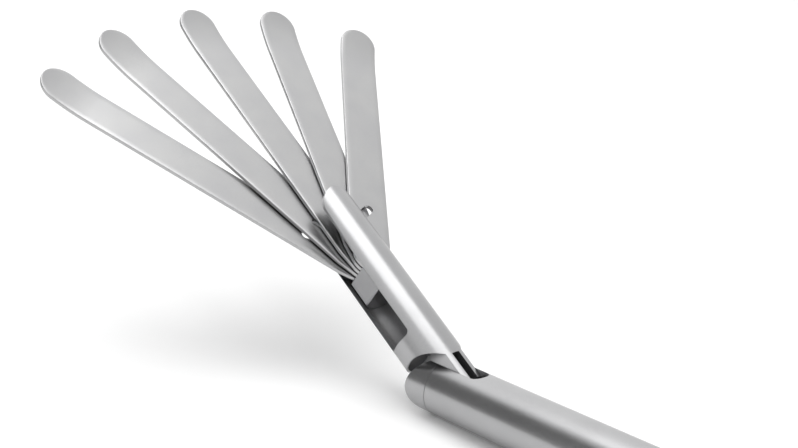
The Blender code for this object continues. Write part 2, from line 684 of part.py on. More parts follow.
def make_handle(steel, polished, polymer, rubber, parent):
    """In-line handle: collar, front section, angle wheel, grip, fan wheel and end cap on a core tube."""
    make_collar(polished, parent)

    core_bore = CORE_R + SEAT_GAP
    front_end = ANGLE_WHEEL_START - WHEEL_CLEAR
    front_bores = ((0, SEAL_START, SHAFT_R + SEAT_GAP), (SEAL_START, front_end + 2, core_bore))
    front = handle_section("handle_front", COLLAR_LENGTH + FACE_GAP, front_end, front_bores, steel, parent,
                           (FRONT_NOSE_R, FRONT_CONE_END))
    grip_end = FAN_WHEEL_START - WHEEL_CLEAR
    grip_bores = ((GRIP_START - 2, grip_end + 2, core_bore),)
    grip = handle_section("handle_grip", GRIP_START, grip_end, grip_bores, steel, parent)
    cap_bores = ((CAP_START - 2, CORE_END + FACE_GAP, core_bore),)
    cap = handle_section("end_cap", CAP_START, HANDLE_LENGTH, cap_bores, steel, parent)

    make_wheel("angle_wheel", ANGLE_WHEEL_START, ANGLE_WHEEL_WIDTH, polished, parent)
    make_wheel("fan_wheel", FAN_WHEEL_START, FAN_WHEEL_WIDTH, polished, parent)
    angle_middle = ANGLE_WHEEL_START + ANGLE_WHEEL_WIDTH / 2
    fan_middle = FAN_WHEEL_START + WHEEL_WALL + FACE_GAP + DRIVE_PIN_R
    make_core(angle_middle, fan_middle, steel, parent)
    make_carrier("angle_carrier", angle_middle, ANGLE_CARRIER_LENGTH, ANGLE_TUBE_R + SEAT_GAP, steel, parent)
    make_carrier("fan_carrier", fan_middle, FAN_CARRIER_LENGTH, DRIVE_ROD_R + SEAT_GAP, steel, parent)
    make_drive_pins("angle_drive_pin", angle_middle, ANGLE_TUBE_R + 0.2, steel, parent)
    make_drive_pins("fan_drive_pin", fan_middle, DRIVE_ROD_R + 0.2, steel, parent)
    make_washers(polymer, parent)
    make_set_screws(front, grip, cap, steel, parent)
    bar("shaft_seal", SEAL_START, SEAL_START + SEAL_LENGTH, SEAL_R, ANGLE_TUBE_R + 0.1, rubber, parent, 32)


def build():
    clear_scene()
    steel = material("satin_steel", (0.55, 0.55, 0.55), 0.32)
    bright = material("bright_steel", (0.68, 0.68, 0.68), 0.22)
    blade_steel = material("blade_steel", (0.60, 0.60, 0.60), 0.30)
    polymer = material("bearing_polymer", (0.80, 0.79, 0.76), 0.5, 0.0)
    rubber = material("seal_silicone", (0.30, 0.32, 0.33), 0.6, 0.0)

    hinge = empty("hinge_axis", (HINGE_X, 0, 0))
    bent = empty("head_axis", (HINGE_X, 0, 0), (0, math.radians(BEND_DEG), 0))
    pivot = empty("fan_axis", (-PIVOT, 0, 0), parent=bent)
    handle = empty("handle_start", (HINGE_X + SHAFT_LENGTH, 0, 0))

    make_head(steel, bent)
    make_guide_pin(bright, bent)
    make_crank_pin(bright, bent)
    make_block(steel, bent)
    make_pivot_pin(bright, bent)
    make_head_rod(bright, bent)
    for number, spread_deg in enumerate(BLADE_ANGLES_DEG, start=1):
        make_blade(number, spread_deg, blade_steel, pivot)

    make_nose(steel, hinge)
    make_shaft_tube(steel, hinge)
    make_hinge_pins(bright, hinge)
    make_yoke(steel, hinge)
    make_angle_tube(steel, hinge)
    make_drive_rod(bright, hinge)
    make_cable(bright)
    make_handle(steel, bright, polymer, rubber, handle)


build()
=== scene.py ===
"""Looks of a fan retractor for keyhole surgery: five steel blades on an angled head, a shaft and a handle.

Lengths are in millimetres, measured from the hinge between head and shaft: x runs back along the shaft
towards the handle, y across it and z up. Each mesh is turned into metres in the frame's own axes.
"""
import json
import math

import bmesh
import bpy
import numpy as np
from mathutils import Matrix, Vector


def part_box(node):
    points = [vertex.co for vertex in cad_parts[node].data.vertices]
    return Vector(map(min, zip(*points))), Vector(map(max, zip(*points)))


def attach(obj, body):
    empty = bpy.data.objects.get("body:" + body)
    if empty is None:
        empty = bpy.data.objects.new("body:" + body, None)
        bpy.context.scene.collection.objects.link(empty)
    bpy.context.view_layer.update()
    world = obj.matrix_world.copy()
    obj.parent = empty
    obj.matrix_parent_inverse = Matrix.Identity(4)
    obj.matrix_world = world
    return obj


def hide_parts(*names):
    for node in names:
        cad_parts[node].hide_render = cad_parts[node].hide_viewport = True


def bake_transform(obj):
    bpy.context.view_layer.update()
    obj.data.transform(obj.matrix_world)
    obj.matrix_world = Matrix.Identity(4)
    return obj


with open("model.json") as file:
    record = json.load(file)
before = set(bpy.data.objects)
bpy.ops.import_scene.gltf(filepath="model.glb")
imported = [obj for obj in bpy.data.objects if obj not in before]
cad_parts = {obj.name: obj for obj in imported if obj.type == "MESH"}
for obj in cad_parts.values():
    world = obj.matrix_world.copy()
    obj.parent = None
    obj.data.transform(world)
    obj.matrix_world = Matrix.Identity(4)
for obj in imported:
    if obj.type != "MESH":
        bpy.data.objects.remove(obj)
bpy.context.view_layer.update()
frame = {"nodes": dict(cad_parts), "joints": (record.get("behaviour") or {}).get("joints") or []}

# Camera
# The photograph looks down on the fan from beyond its left side, from close by, with a slight roll.
# The hinge between head and shaft fixes the aim: the camera is set so that it shows where the photograph
# has it.
MM = 0.001
PHOTO_WIDTH_PX, PHOTO_HEIGHT_PX = 798, 448
FOCAL_LENGTH_PX = 1202.9
HINGE_SHOWN_AT_PX = (458.95, 393.1)
SENSOR_WIDTH = 36.0
CAMERA_DISTANCE = 202.5
CAMERA_TURN_DEG = 43.7
CAMERA_LOOKS_DOWN_DEG = 16.88
CAMERA_ROLL_DEG = 3.59
CAMERA_NEAR_M = 0.005

joints = {joint["name"]: joint for joint in frame["joints"]}
hinge = Vector(joints["head_bend"]["pos_m"])


def linked(name, data):
    """New object in the scene for a camera, a lamp or a mesh."""
    item = bpy.data.objects.new(name, data)
    bpy.context.scene.collection.objects.link(item)
    return item


def make_camera():
    """Camera whose axes come from its turn, its tilt and its roll, at the given distance from the hinge."""
    turn, tilt = math.radians(CAMERA_TURN_DEG), math.radians(CAMERA_LOOKS_DOWN_DEG)
    roll = math.radians(CAMERA_ROLL_DEG)
    back = Vector((math.sin(turn) * math.cos(tilt), -math.cos(turn) * math.cos(tilt), math.sin(tilt)))
    level_right = Vector((math.cos(turn), math.sin(turn), 0))
    level_up = back.cross(level_right)
    right = level_right * math.cos(roll) + level_up * math.sin(roll)
    up = level_up * math.cos(roll) - level_right * math.sin(roll)
    aside = (HINGE_SHOWN_AT_PX[0] - PHOTO_WIDTH_PX / 2) / FOCAL_LENGTH_PX
    above = (PHOTO_HEIGHT_PX / 2 - HINGE_SHOWN_AT_PX[1]) / FOCAL_LENGTH_PX
    place = hinge + (back - right * aside - up * above) * CAMERA_DISTANCE * MM
    data = bpy.data.cameras.new("camera")
    data.sensor_width = SENSOR_WIDTH
    data.lens = FOCAL_LENGTH_PX / PHOTO_WIDTH_PX * SENSOR_WIDTH
    data.clip_start = CAMERA_NEAR_M
    camera = linked("camera", data)
    camera.matrix_world = Matrix((right, up, back)).transposed().to_4x4()
    camera.matrix_world.translation = place
    bpy.context.scene.camera = camera


make_camera()
bpy.context.scene.view_settings.view_transform = "Standard"

# Studio
# A white table in a white room, with a large soft light overhead and a brighter wall on two sides. A grey
# screen stands to the left of the camera, outside the picture, and gives the steel its dark side. The
# instrument lies on the front end of its handle's flats and on its nose, so the table slopes a little.
FLOOR_HALF_M = 6.0
FLOOR_WHITE = "#F4F4F4"
SCREEN_GREY = "#848484"
FLOOR_GLOW = 0.04
ROOM_LEVEL = 0.71
ROOM_SEEN = 0.95
# The middle of each glow as turn and rise, how far it reaches from there, all in degrees, and its strength.
GLOWS = (
    ((148.0, 40.0), 65.0, 0.70),
    ((-76.0, 42.0), 40.0, 0.34),
)
SOFTBOX_SIZE_M = 0.82
SOFTBOX_HEIGHT_M = 1.0
SOFTBOX_ASIDE_M = (-0.03, 0.03)
SOFTBOX_TURN_DEG = -12.0
SOFTBOX_RADIANCE = 2.1
SCREEN_DIRECTION_DEG = (-138.0, 24.0)
SCREEN_DISTANCE_M = 0.55
SCREEN_SIZE_M = (0.50, 0.50)
HANDLE_FLATS_END_X = 279.0
HANDLE_UNDERSIDE = -12.0
NOSE_TOUCHES_X = -6.0
NOSE_UNDERSIDE = -4.95
TABLE_BELOW = 0.05


def linear(code):
    """Linear colour of an sRGB hex value: straight in the darkest part, then a power of 2.4."""
    parts = np.array([int(code[start:start + 2], 16) for start in (1, 3, 5)]) / 255
    bright = ((parts + 0.055) / 1.055) ** 2.4
    return (*np.where(parts <= 0.04045, parts / 12.92, bright).tolist(), 1.0)


def add(tree, kind, inputs=None, **settings):
    """Add a node with its settings, and its inputs, each a value or another node's output."""
    item = tree.nodes.new(kind)
    for name, value in settings.items():
        setattr(item, name, value)
    for key, value in (inputs or {}).items():
        if isinstance(value, bpy.types.NodeSocket):
            tree.links.new(value, item.inputs[key])
        else:
            item.inputs[key].default_value = value
    return item


def blank_material(name):
    """New material whose node tree is empty."""
    material = bpy.data.materials.new(name)
    material.use_nodes = True
    material.node_tree.nodes.clear()
    return material, material.node_tree


def mix(tree, share, first, second):
    """Colour that goes from the first to the second as share goes from nothing to one."""
    return add(tree, "ShaderNodeMix", {0: share, 6: first, 7: second}, data_type="RGBA").outputs[2]


def remap(tree, value, source=(0.0, 1.0), target=(0.0, 1.0), easing="LINEAR"):
    """Value carried from one range to another, in a straight line or eased at both ends."""
    return add(tree, "ShaderNodeMapRange", {"Value": value, "From Min": source[0], "From Max": source[1],
                                            "To Min": target[0], "To Max": target[1]},
               interpolation_type=easing).outputs[0]


def rectangle(low, high):
    """Corners of a rectangle, given by its lowest and its highest corner."""
    return [(low[0], low[1]), (high[0], low[1]), (high[0], high[1]), (low[0], high[1])]


def unit(turn_deg, rise_deg):
    """Direction that is turned from +x towards +y and raised by the given angles."""
    turn, rise = math.radians(turn_deg), math.radians(rise_deg)
    return Vector((math.cos(turn) * math.cos(rise), math.sin(turn) * math.cos(rise), math.sin(rise)))


def seen_directly(tree):
    """One for a ray from the camera, off a mirror or through glass, otherwise nothing."""
    path = add(tree, "ShaderNodeLightPath")
    either = add(tree, "ShaderNodeMath", {0: path.outputs["Is Camera Ray"], 1: path.outputs["Is Glossy Ray"]},
                 operation="MAXIMUM")
    return add(tree, "ShaderNodeMath", {0: either.outputs[0], 1: path.outputs["Is Transmission Ray"]},
               operation="MAXIMUM").outputs[0]


def make_room():
    """Light from all round, which grows towards the middle of each glow. The steel shows it near white."""
    world = bpy.data.worlds.new("white_room")
    world.use_nodes = True
    tree = world.node_tree
    tree.nodes.clear()
    way = add(tree, "ShaderNodeTexCoord").outputs["Generated"]
    level = remap(tree, seen_directly(tree), target=(ROOM_LEVEL, ROOM_SEEN))
    for direction, width_deg, amount in GLOWS:
        near = add(tree, "ShaderNodeVectorMath", {0: way, 1: unit(*direction)}, operation="DOT_PRODUCT")
        edge = math.cos(math.radians(width_deg))
        glow = remap(tree, near.outputs["Value"], (edge, 1.0), (0.0, amount), "SMOOTHSTEP")
        level = add(tree, "ShaderNodeMath", {0: glow, 1: level}, operation="ADD").outputs[0]
    light = add(tree, "ShaderNodeBackground", {"Strength": level})
    add(tree, "ShaderNodeOutputWorld", {"Surface": light.outputs[0]})
    bpy.context.scene.world = world


def flat_sheet(name, corners, material):
    """A flat sheet through four corners in metres, which belongs to the studio."""
    mesh = bpy.data.meshes.new(name)
    mesh.from_pydata(corners, [], [(0, 1, 2, 3)])
    mesh.materials.append(material)
    sheet = linked(name, mesh)
    return sheet


def make_floor():
    """White table top, sloped through the two places where the instrument lies. It keeps the shadow."""
    material, tree = blank_material("white_painted_board")
    seen = seen_directly(tree)
    glow = add(tree, "ShaderNodeMath", {0: seen, 1: FLOOR_GLOW}, operation="MULTIPLY")
    paint = add(tree, "ShaderNodeBsdfDiffuse",
                {"Color": mix(tree, seen, linear(FLOOR_WHITE), linear("#FFFFFF"))})
    white = add(tree, "ShaderNodeEmission", {"Strength": glow.outputs[0]})
    both = add(tree, "ShaderNodeAddShader", {0: paint.outputs[0], 1: white.outputs[0]})
    add(tree, "ShaderNodeOutputMaterial", {"Surface": both.outputs[0]})
    slope = (HANDLE_UNDERSIDE - NOSE_UNDERSIDE) / (HANDLE_FLATS_END_X - NOSE_TOUCHES_X)
    under_hinge = (HANDLE_UNDERSIDE - slope * HANDLE_FLATS_END_X - TABLE_BELOW) * MM
    plan = rectangle((-FLOOR_HALF_M, -FLOOR_HALF_M), (FLOOR_HALF_M, FLOOR_HALF_M))
    flat_sheet("floor", [(x, y, under_hinge + slope * (x - hinge.x)) for x, y in plan], material)


def make_screen():
    """Grey screen that faces the hinge. The steel reflects it, and the camera doesn't see it."""
    material, tree = blank_material("grey_felt")
    felt = add(tree, "ShaderNodeBsdfDiffuse", {"Color": linear(SCREEN_GREY)})
    add(tree, "ShaderNodeOutputMaterial", {"Surface": felt.outputs[0]})
    out = unit(*SCREEN_DIRECTION_DEG)
    middle = hinge + out * SCREEN_DISTANCE_M
    aside = Vector((-out.y, out.x, 0)).normalized() * SCREEN_SIZE_M[0] / 2
    up = out.cross(aside).normalized() * SCREEN_SIZE_M[1] / 2
    corners = [middle - aside - up, middle + aside - up, middle + aside + up, middle - aside + up]
    screen = flat_sheet("grey_screen", corners, material)
    screen.visible_camera = False
    screen.visible_shadow = False
    screen.visible_diffuse = False


def make_softbox():
    """Large square lamp over the fan, pointing down. Its power is radiance times pi times its area."""
    data = bpy.data.lights.new("softbox", "AREA")
    data.size = SOFTBOX_SIZE_M
    data.energy = SOFTBOX_RADIANCE * math.pi * SOFTBOX_SIZE_M ** 2
    lamp = linked("softbox", data)
    lamp.location = hinge + Vector((*SOFTBOX_ASIDE_M, SOFTBOX_HEIGHT_M))
    lamp.rotation_euler.z = math.radians(SOFTBOX_TURN_DEG)


make_room()
make_floor()
make_screen()
make_softbox()

# Shaft tube
# A drawn stainless tube, 10 mm across, ground to size and then satin finished by fine glass blasting. Its
# front end has a round-ended opening on top, where the tang of the head goes in. It is clamped in the
# handle.
SHAFT_R = 5.0
SHAFT_BORE_R = 4.3
SHAFT_LENGTH = 250.0
TUBE_END_IN_HANDLE = 19.7
SEAM = 3.5
SEAM_GAP = 0.10
TANG_SLOT_HALF = 1.95
TOP_OPENING_START = -6.5
TOP_OPENING_STRAIGHT = 3.6
SATIN_STEEL_COLOUR = "#ACACAD"
SATIN_STEEL_DARK = "#A7A7A8"
SATIN_ROUGHNESS = (0.25, 0.31)
BLAST_GRAIN = 0.05
# Painted shade for bores and slots: this darker colour is painted where ambient occlusion finds little open
# space, and the sheen there is duller.
HOLLOW_PAINTED_SHADE = "#727273"
PAINTED_SHADE_REACH = 9.0
# Open share of the space round a point where the painted shade is full, and where it stops.
PAINTED_SHADE_FULL, PAINTED_SHADE_NONE = 0.55, 0.90
HOLLOW_ROUGHNESS = 0.6
# Most values of a noise lie in this span, so it is the one that patterns stretch over their whole range.
NOISE_SPAN = (0.3, 0.7)
# Points this close are one. Holes leave the clearance round their pins, and tools reach beyond a piece.
MERGED_WITHIN = 1e-5
CLEARANCE = 0.05
BEYOND = 6.0
at_hinge = Matrix.Translation(hinge) @ Matrix.Scale(MM, 4)


def closed_form(name, points, faces, place):
    """Object whose faces look outwards, and whose points that lie together are merged."""
    mesh = bpy.data.meshes.new(name)
    mesh.from_pydata(points.tolist(), [], faces)
    work = bmesh.new()
    work.from_mesh(mesh)
    bmesh.ops.remove_doubles(work, verts=work.verts, dist=MERGED_WITHIN)
    bmesh.ops.dissolve_degenerate(work, edges=work.edges, dist=MERGED_WITHIN / 10)
    bmesh.ops.recalc_face_normals(work, faces=work.faces)
    work.transform(place)
    work.to_mesh(mesh)
    work.free()
    return linked(name, mesh)


def skin(name, grid, place=at_hinge, tube=False):
    """Closed skin over a grid of points, rows by ring by three.

    Each row is a ring that closes on itself, and each ring is joined to the next. In a tube the last ring
    joins the first. Otherwise the first and the last ring have shrunk to a point or a line, which is merged.
    """
    rows, ring = grid.shape[:2]
    near = np.arange(rows if tube else rows - 1)[:, None] * ring
    far = (near + ring) % (rows * ring)
    here = np.arange(ring)[None, :]
    ahead = (here + 1) % ring
    faces = np.stack([near + here, near + ahead, far + ahead, far + here], axis=-1).reshape(-1, 4)
    return closed_form(name, grid.reshape(-1, 3), faces.tolist(), place)


def profile_rows(profile, step):
    """The (x, radius) points of a profile, with more put in so that no stretch is longer than step."""
    points = [np.array([profile[0]], float)]
    for start, end in zip(profile, profile[1:]):
        start, end = np.array(start, float), np.array(end, float)
        count = max(1, math.ceil(float(np.linalg.norm(end - start)) / step))
        share = np.linspace(0, 1, count + 1)[1:, None]
        points.append(start + (end - start) * share)
    return np.concatenate(points)


def round_x(x, radius, angle):
    """Points round the x axis: x, radius times sine and radius times cosine, at each angle."""
    along = np.repeat(x[:, None], len(angle), axis=1)
    return np.stack([along, radius * np.sin(angle), radius * np.cos(angle)], axis=-1)


def turned(name, profile, place=at_hinge, ring=160, step=1.5, tube=False):
    """A turned form: each (x, radius) of the profile is swept round the x axis.

    The profile of a tube is closed: it goes out along the outside and back along the bore.
    """
    rows = profile_rows(profile + profile[:1] if tube else profile, step)
    rows = rows[:-1] if tube else rows
    angle = (np.arange(ring) + 0.5) * 2 * np.pi / ring
    return skin(name, round_x(rows[:, 0], rows[:, 1:], angle), place, tube)


def along_z(a, b, c):
    """Points of an outline in plan, carried upwards by c."""
    return np.stack([a, b, c], axis=-1)


def along_y(a, b, c):
    """Points of an outline in side view, carried across by c."""
    return np.stack([a, c, b], axis=-1)


def prism(name, outline, low, high, axis=along_z, place=at_hinge):
    """A straight prism: an outline in two of the axes, carried from low to high along the third."""
    outline = np.array(outline, float)
    count = len(outline)
    lower = axis(outline[:, 0], outline[:, 1], np.full(count, float(low)))
    upper = axis(outline[:, 0], outline[:, 1], np.full(count, float(high)))
    here = np.arange(count)
    ahead = (here + 1) % count
    walls = np.stack([here, ahead, ahead + count, here + count], axis=-1)
    faces = [here.tolist(), (here + count).tolist(), *walls.tolist()]
    return closed_form(name, np.concatenate([lower, upper]), faces, place)


def arc(centre, radii, start_deg, end_deg, steps):
    """Points of an elliptical arc: centre plus radii times cosine and sine, from one angle to the other."""
    angle = np.radians(np.linspace(start_deg, end_deg, steps + 1))
    points = np.stack([centre[0] + radii[0] * np.cos(angle), centre[1] + radii[1] * np.sin(angle)], axis=-1)
    return points.tolist()


def circle(centre, radius, steps=48):
    """Points of a circle, each a step further round."""
    return arc(centre, (radius, radius), 0, 360 - 360 / steps, steps - 1)


def machine(piece, tool, operation="DIFFERENCE"):
    """Cut a piece with a tool, trim it to the tool or join the tool to it, and put the tool away."""
    modifier = piece.modifiers.new("machining", "BOOLEAN")
    modifier.operation = operation
    modifier.object = tool
    modifier.solver = "EXACT"
    bpy.context.view_layer.update()
    mesh = bpy.data.meshes.new_from_object(piece.evaluated_get(bpy.context.evaluated_depsgraph_get()))
    piece.modifiers.clear()
    piece.data = mesh
    bpy.data.objects.remove(tool, do_unlink=True)
    return piece


def fit(piece, material, body, node, sharp_deg=30, bends_to=None):
    """Shade a finished piece, give it its material, and let it stand for a node of the frame.

    It rides on its body. One that bends is only baked where it lies and rides on no body; the second body and
    the two places it is given are not used.
    """
    mesh = piece.data
    mesh.shade_smooth()
    mesh.set_sharp_from_angle(angle=math.radians(sharp_deg))
    mesh.materials.clear()
    mesh.materials.append(material)
    if bends_to:
        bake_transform(piece)
    else:
        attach(piece, body)
    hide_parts(node)


def noise(tree, size, detail, roughness=0.5):
    """Cloudy noise whose features have about the given size in millimetres."""
    place = add(tree, "ShaderNodeTexCoord").outputs["Object"]
    return add(tree, "ShaderNodeTexNoise", {"Vector": place, "Scale": 1 / (size * MM), "Detail": detail,
                                            "Roughness": roughness}).outputs[0]


def steel(name, colours, roughness, grain, cloud=6.0, relief=0.0006, edge=0.06, painted_shade=None):
    """Stainless steel with a fine grain in its sheen and relief, and soft patches in its tone.

    Grain and cloud are the sizes in millimetres of the finishing marks and of the patches, relief is the
    height of the marks, and edge is the radius that deburring leaves on sharp edges, which catches the light.
    Painted shade is a darker colour painted into the bores and slots, where shade falls, and the sheen there
    is made duller too. It takes over where little of the space within reach of a point is open.
    """
    material, tree = blank_material(name)
    marks = noise(tree, grain, 3.0, 0.6)
    tone = remap(tree, noise(tree, cloud, 2.0), NOISE_SPAN)
    colour = mix(tree, tone, linear(colours[0]), linear(colours[1]))
    worn = remap(tree, marks, NOISE_SPAN, roughness)
    # Painted shade: the colour darkens towards the given grey where ambient occlusion finds the point
    # enclosed.
    if painted_shade:
        open_share = add(tree, "ShaderNodeAmbientOcclusion", {"Distance": PAINTED_SHADE_REACH * MM}, samples=8,
                         only_local=True).outputs["AO"]
        unshaded_share = remap(tree, open_share, (PAINTED_SHADE_FULL, PAINTED_SHADE_NONE), easing="SMOOTHSTEP")
        colour = mix(tree, unshaded_share, linear(painted_shade), colour)
        worn = remap(tree, unshaded_share, target=(HOLLOW_ROUGHNESS, worn))
    stoned = add(tree, "ShaderNodeBevel", {"Radius": edge * MM}, samples=6).outputs[0]
    bump = add(tree, "ShaderNodeBump", {"Height": marks, "Distance": relief * MM, "Strength": 1.0,
                                        "Normal": stoned})
    shader = add(tree, "ShaderNodeBsdfPrincipled", {"Metallic": 1.0, "Base Color": colour,
                                                    "Roughness": worn, "Normal": bump.outputs[0]})
    add(tree, "ShaderNodeOutputMaterial", {"Surface": shader.outputs[0]})
    return material


def stadium(start, end, half, steps=24):
    """Outline of a slot with round ends, between two centres on a line."""
    return arc((start, 0), (half, half), 90, 270, steps) + arc((end, 0), (half, half), -90, 90, steps)


def make_shaft_tube():
    """Long tube, faced square at its front end, with the opening milled through its top."""
    front, end = -SEAM + SEAM_GAP, SHAFT_LENGTH + TUBE_END_IN_HANDLE
    profile = [(front, SHAFT_R), (end, SHAFT_R), (end, SHAFT_BORE_R), (front, SHAFT_BORE_R)]
    tube = turned("drawn_shaft_tube", profile, ring=192, step=3.0, tube=True)
    opening = stadium(TOP_OPENING_START, TOP_OPENING_STRAIGHT, TANG_SLOT_HALF)
    machine(tube, prism("opening", opening, 1, BEYOND))
    return tube


# Glass beads leave pits of a few hundredths of a millimetre, which spread each reflection to a silky sheen.
# The openings and the bores get painted shade: a darker colour and a duller sheen where ambient occlusion
# finds them enclosed.
satin_finish = steel("satin_blasted_stainless", (SATIN_STEEL_DARK, SATIN_STEEL_COLOUR), SATIN_ROUGHNESS,
                     BLAST_GRAIN, painted_shade=HOLLOW_PAINTED_SHADE)
fit(make_shaft_tube(), satin_finish, "shaft_and_handle", "shaft_tube")

# Shaft nose
# The end piece of the shaft is turned from bar and milled to two ears with a slot between them for the tang.
# Its rear is turned down and pressed into the tube, which leaves a fine seam line.
NOSE_TIP = 7.9
NOSE_CURVE_CENTRE = 3.3
NOSE_CURVE_HEIGHT = 5.05
EAR_LENGTH = 4.4
NOSE_BLANK_EXTRA = 1.0
NOSE_FLOOR = 2.5
NOSE_FLOOR_END = 4.3
NOSE_SPIGOT_R = 4.25
HINGE_PIN_R = 1.2


def make_nose():
    """Turned end piece, its side view rounded to a quarter of an ellipse above and below, then slotted."""
    front, rear = -NOSE_TIP - NOSE_BLANK_EXTRA, EAR_LENGTH + NOSE_BLANK_EXTRA
    profile = [(front, 0), (front, SHAFT_R), (-SEAM, SHAFT_R), (-SEAM, NOSE_SPIGOT_R),
               (EAR_LENGTH, NOSE_SPIGOT_R), (EAR_LENGTH, 0)]
    nose = turned("shaft_end_piece", profile, ring=192, step=0.6)
    side = arc((-NOSE_CURVE_CENTRE, 0), (NOSE_TIP - NOSE_CURVE_CENTRE, NOSE_CURVE_HEIGHT), 90, 270, 64)
    side += [(rear, -NOSE_CURVE_HEIGHT), (rear, NOSE_CURVE_HEIGHT)]
    machine(nose, prism("side", side, -BEYOND, BEYOND, along_y), "INTERSECT")
    slot = [(front - 1, -NOSE_FLOOR), (-NOSE_FLOOR_END, -NOSE_FLOOR), (-NOSE_FLOOR_END, -BEYOND),
            (rear + 1, -BEYOND), (rear + 1, BEYOND), (front - 1, BEYOND)]
    machine(nose, prism("slot", slot, -TANG_SLOT_HALF, TANG_SLOT_HALF, along_y))
    hole = circle((0, 0), HINGE_PIN_R + CLEARANCE)
    machine(nose, prism("hinge_hole", hole, -BEYOND, BEYOND, along_y))
    return nose


# Blasted with the tube, so the two look alike and only the seam sets them apart.
fit(make_nose(), satin_finish, "shaft_and_handle", "shaft_nose")

# Hinge pins
# Two short ground pins, one pressed into each ear of the end piece. They stop short of the middle, where
# the drive cable runs.
PIN_COLOUR = "#CFCFD0"
PIN_DARK = "#C2C2C4"
PIN_ROUGHNESS = (0.16, 0.22)


def pin(name, low, high, radius, place, edge=0.1, ring=48):
    """Ground pin along the x axis of its place, with a small chamfer at both ends."""
    profile = [(low, 0), (low, radius - edge), (low + edge, radius), (high - edge, radius),
               (high, radius - edge), (high, 0)]
    return turned(name, profile, place, ring)


def facing_y(frame_here, x=0.0, z=0.0):
    """A place whose x axis points across the instrument."""
    return frame_here @ Matrix.Translation((x, 0, z)) @ Matrix.Rotation(math.pi / 2, 4, "Z")


def facing_z(frame_here, x=0.0, y=0.0):
    """A place whose x axis points up."""
    return frame_here @ Matrix.Translation((x, y, 0)) @ Matrix.Rotation(-math.pi / 2, 4, "Y")


# Ground and lapped, so the pins look lighter and sharper than the blasted pieces round them.
pin_finish = steel("ground_stainless_pin", (PIN_DARK, PIN_COLOUR), PIN_ROUGHNESS, 0.04, relief=0.0003)
for number in (1, 2):
    node = f"hinge_pin_{number}"
    low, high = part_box(node)
    made = pin(f"hinge_pin_ground_{number}", low.y / MM, high.y / MM, HINGE_PIN_R, facing_y(at_hinge))
    fit(made, pin_finish, "shaft_and_handle", node)

# Head
# A bored bar, turned to the shaft's diameter. A wide side slot leaves two tongues with round tips, and the
# rear is milled to a ring with a tang of two plates, which reaches into the shaft's end piece.
HEAD_R = 5.0
HEAD_BORE_R = 4.3
HEAD_LENGTH = 43.5
HEAD_RIM = 8.4
RIM_CURVE_CENTRE = 3.6
RIM_CURVE_HEIGHT = 5.0
RIM_CURVE_END_DEG = 112
RELIEF_R = 4.65
RELIEF_END = 11.6
SIDE_SLOT_TOP = 2.9
SIDE_SLOT_BOTTOM = 3.1
SIDE_SLOT_START = 12.2
SIDE_SLOT_CORNER_R = 0.9
TONGUE_ROOT = 18.2
TONGUE_ROOT_HALF = 4.15
TONGUE_TIP_HALF = 3.62
TONGUE_TIP_ROUND = 4.0
TANG_HALF = 1.9
TANG_SLIT_HALF = 0.83
TANG_SLIT_START = 5.15
TANG_FRONT = 7.7
TANG_HEEL = 0.4
TANG_BOTTOM = 2.2
TANG_DISC_R = 3.75
TANG_ROOF = 3.9
TANG_ROOT_END = 11.4
TANG_ROOT_BOTTOM = 3.0
PIVOT = 28.87
GUIDE_PIN = 31.57
GUIDE_PIN_R = 0.8
GUIDE_PIN_TOP = 4.65
CRANK_R = 2.7
CRANK_PIN_R = 0.6
HEAD_BLANK_REAR = 4.4
TANG_BLANK_ENDS = (-14.0, 8.0)
OUTSIDE = 5.4

slide_back = Vector(joints["fan_slide"]["axis"])
bend = math.atan2(-slide_back.z, slide_back.x)
at_head = Matrix.Translation(hinge) @ Matrix.Rotation(bend, 4, "Y") @ Matrix.Scale(MM, 4)
crank = (CRANK_R * math.sin(bend), -CRANK_R * math.cos(bend))


def bar(start, end, radius):
    """Profile of a plain round bar."""
    return [(start, 0), (start, radius), (end, radius), (end, 0)]


def drill(piece, name, centre, pin_r, low, high, axis):
    """Drill a hole for a pin through a piece of the head, with a little clearance round the pin."""
    machine(piece, prism(name, circle(centre, pin_r + CLEARANCE), low, high, axis, at_head))


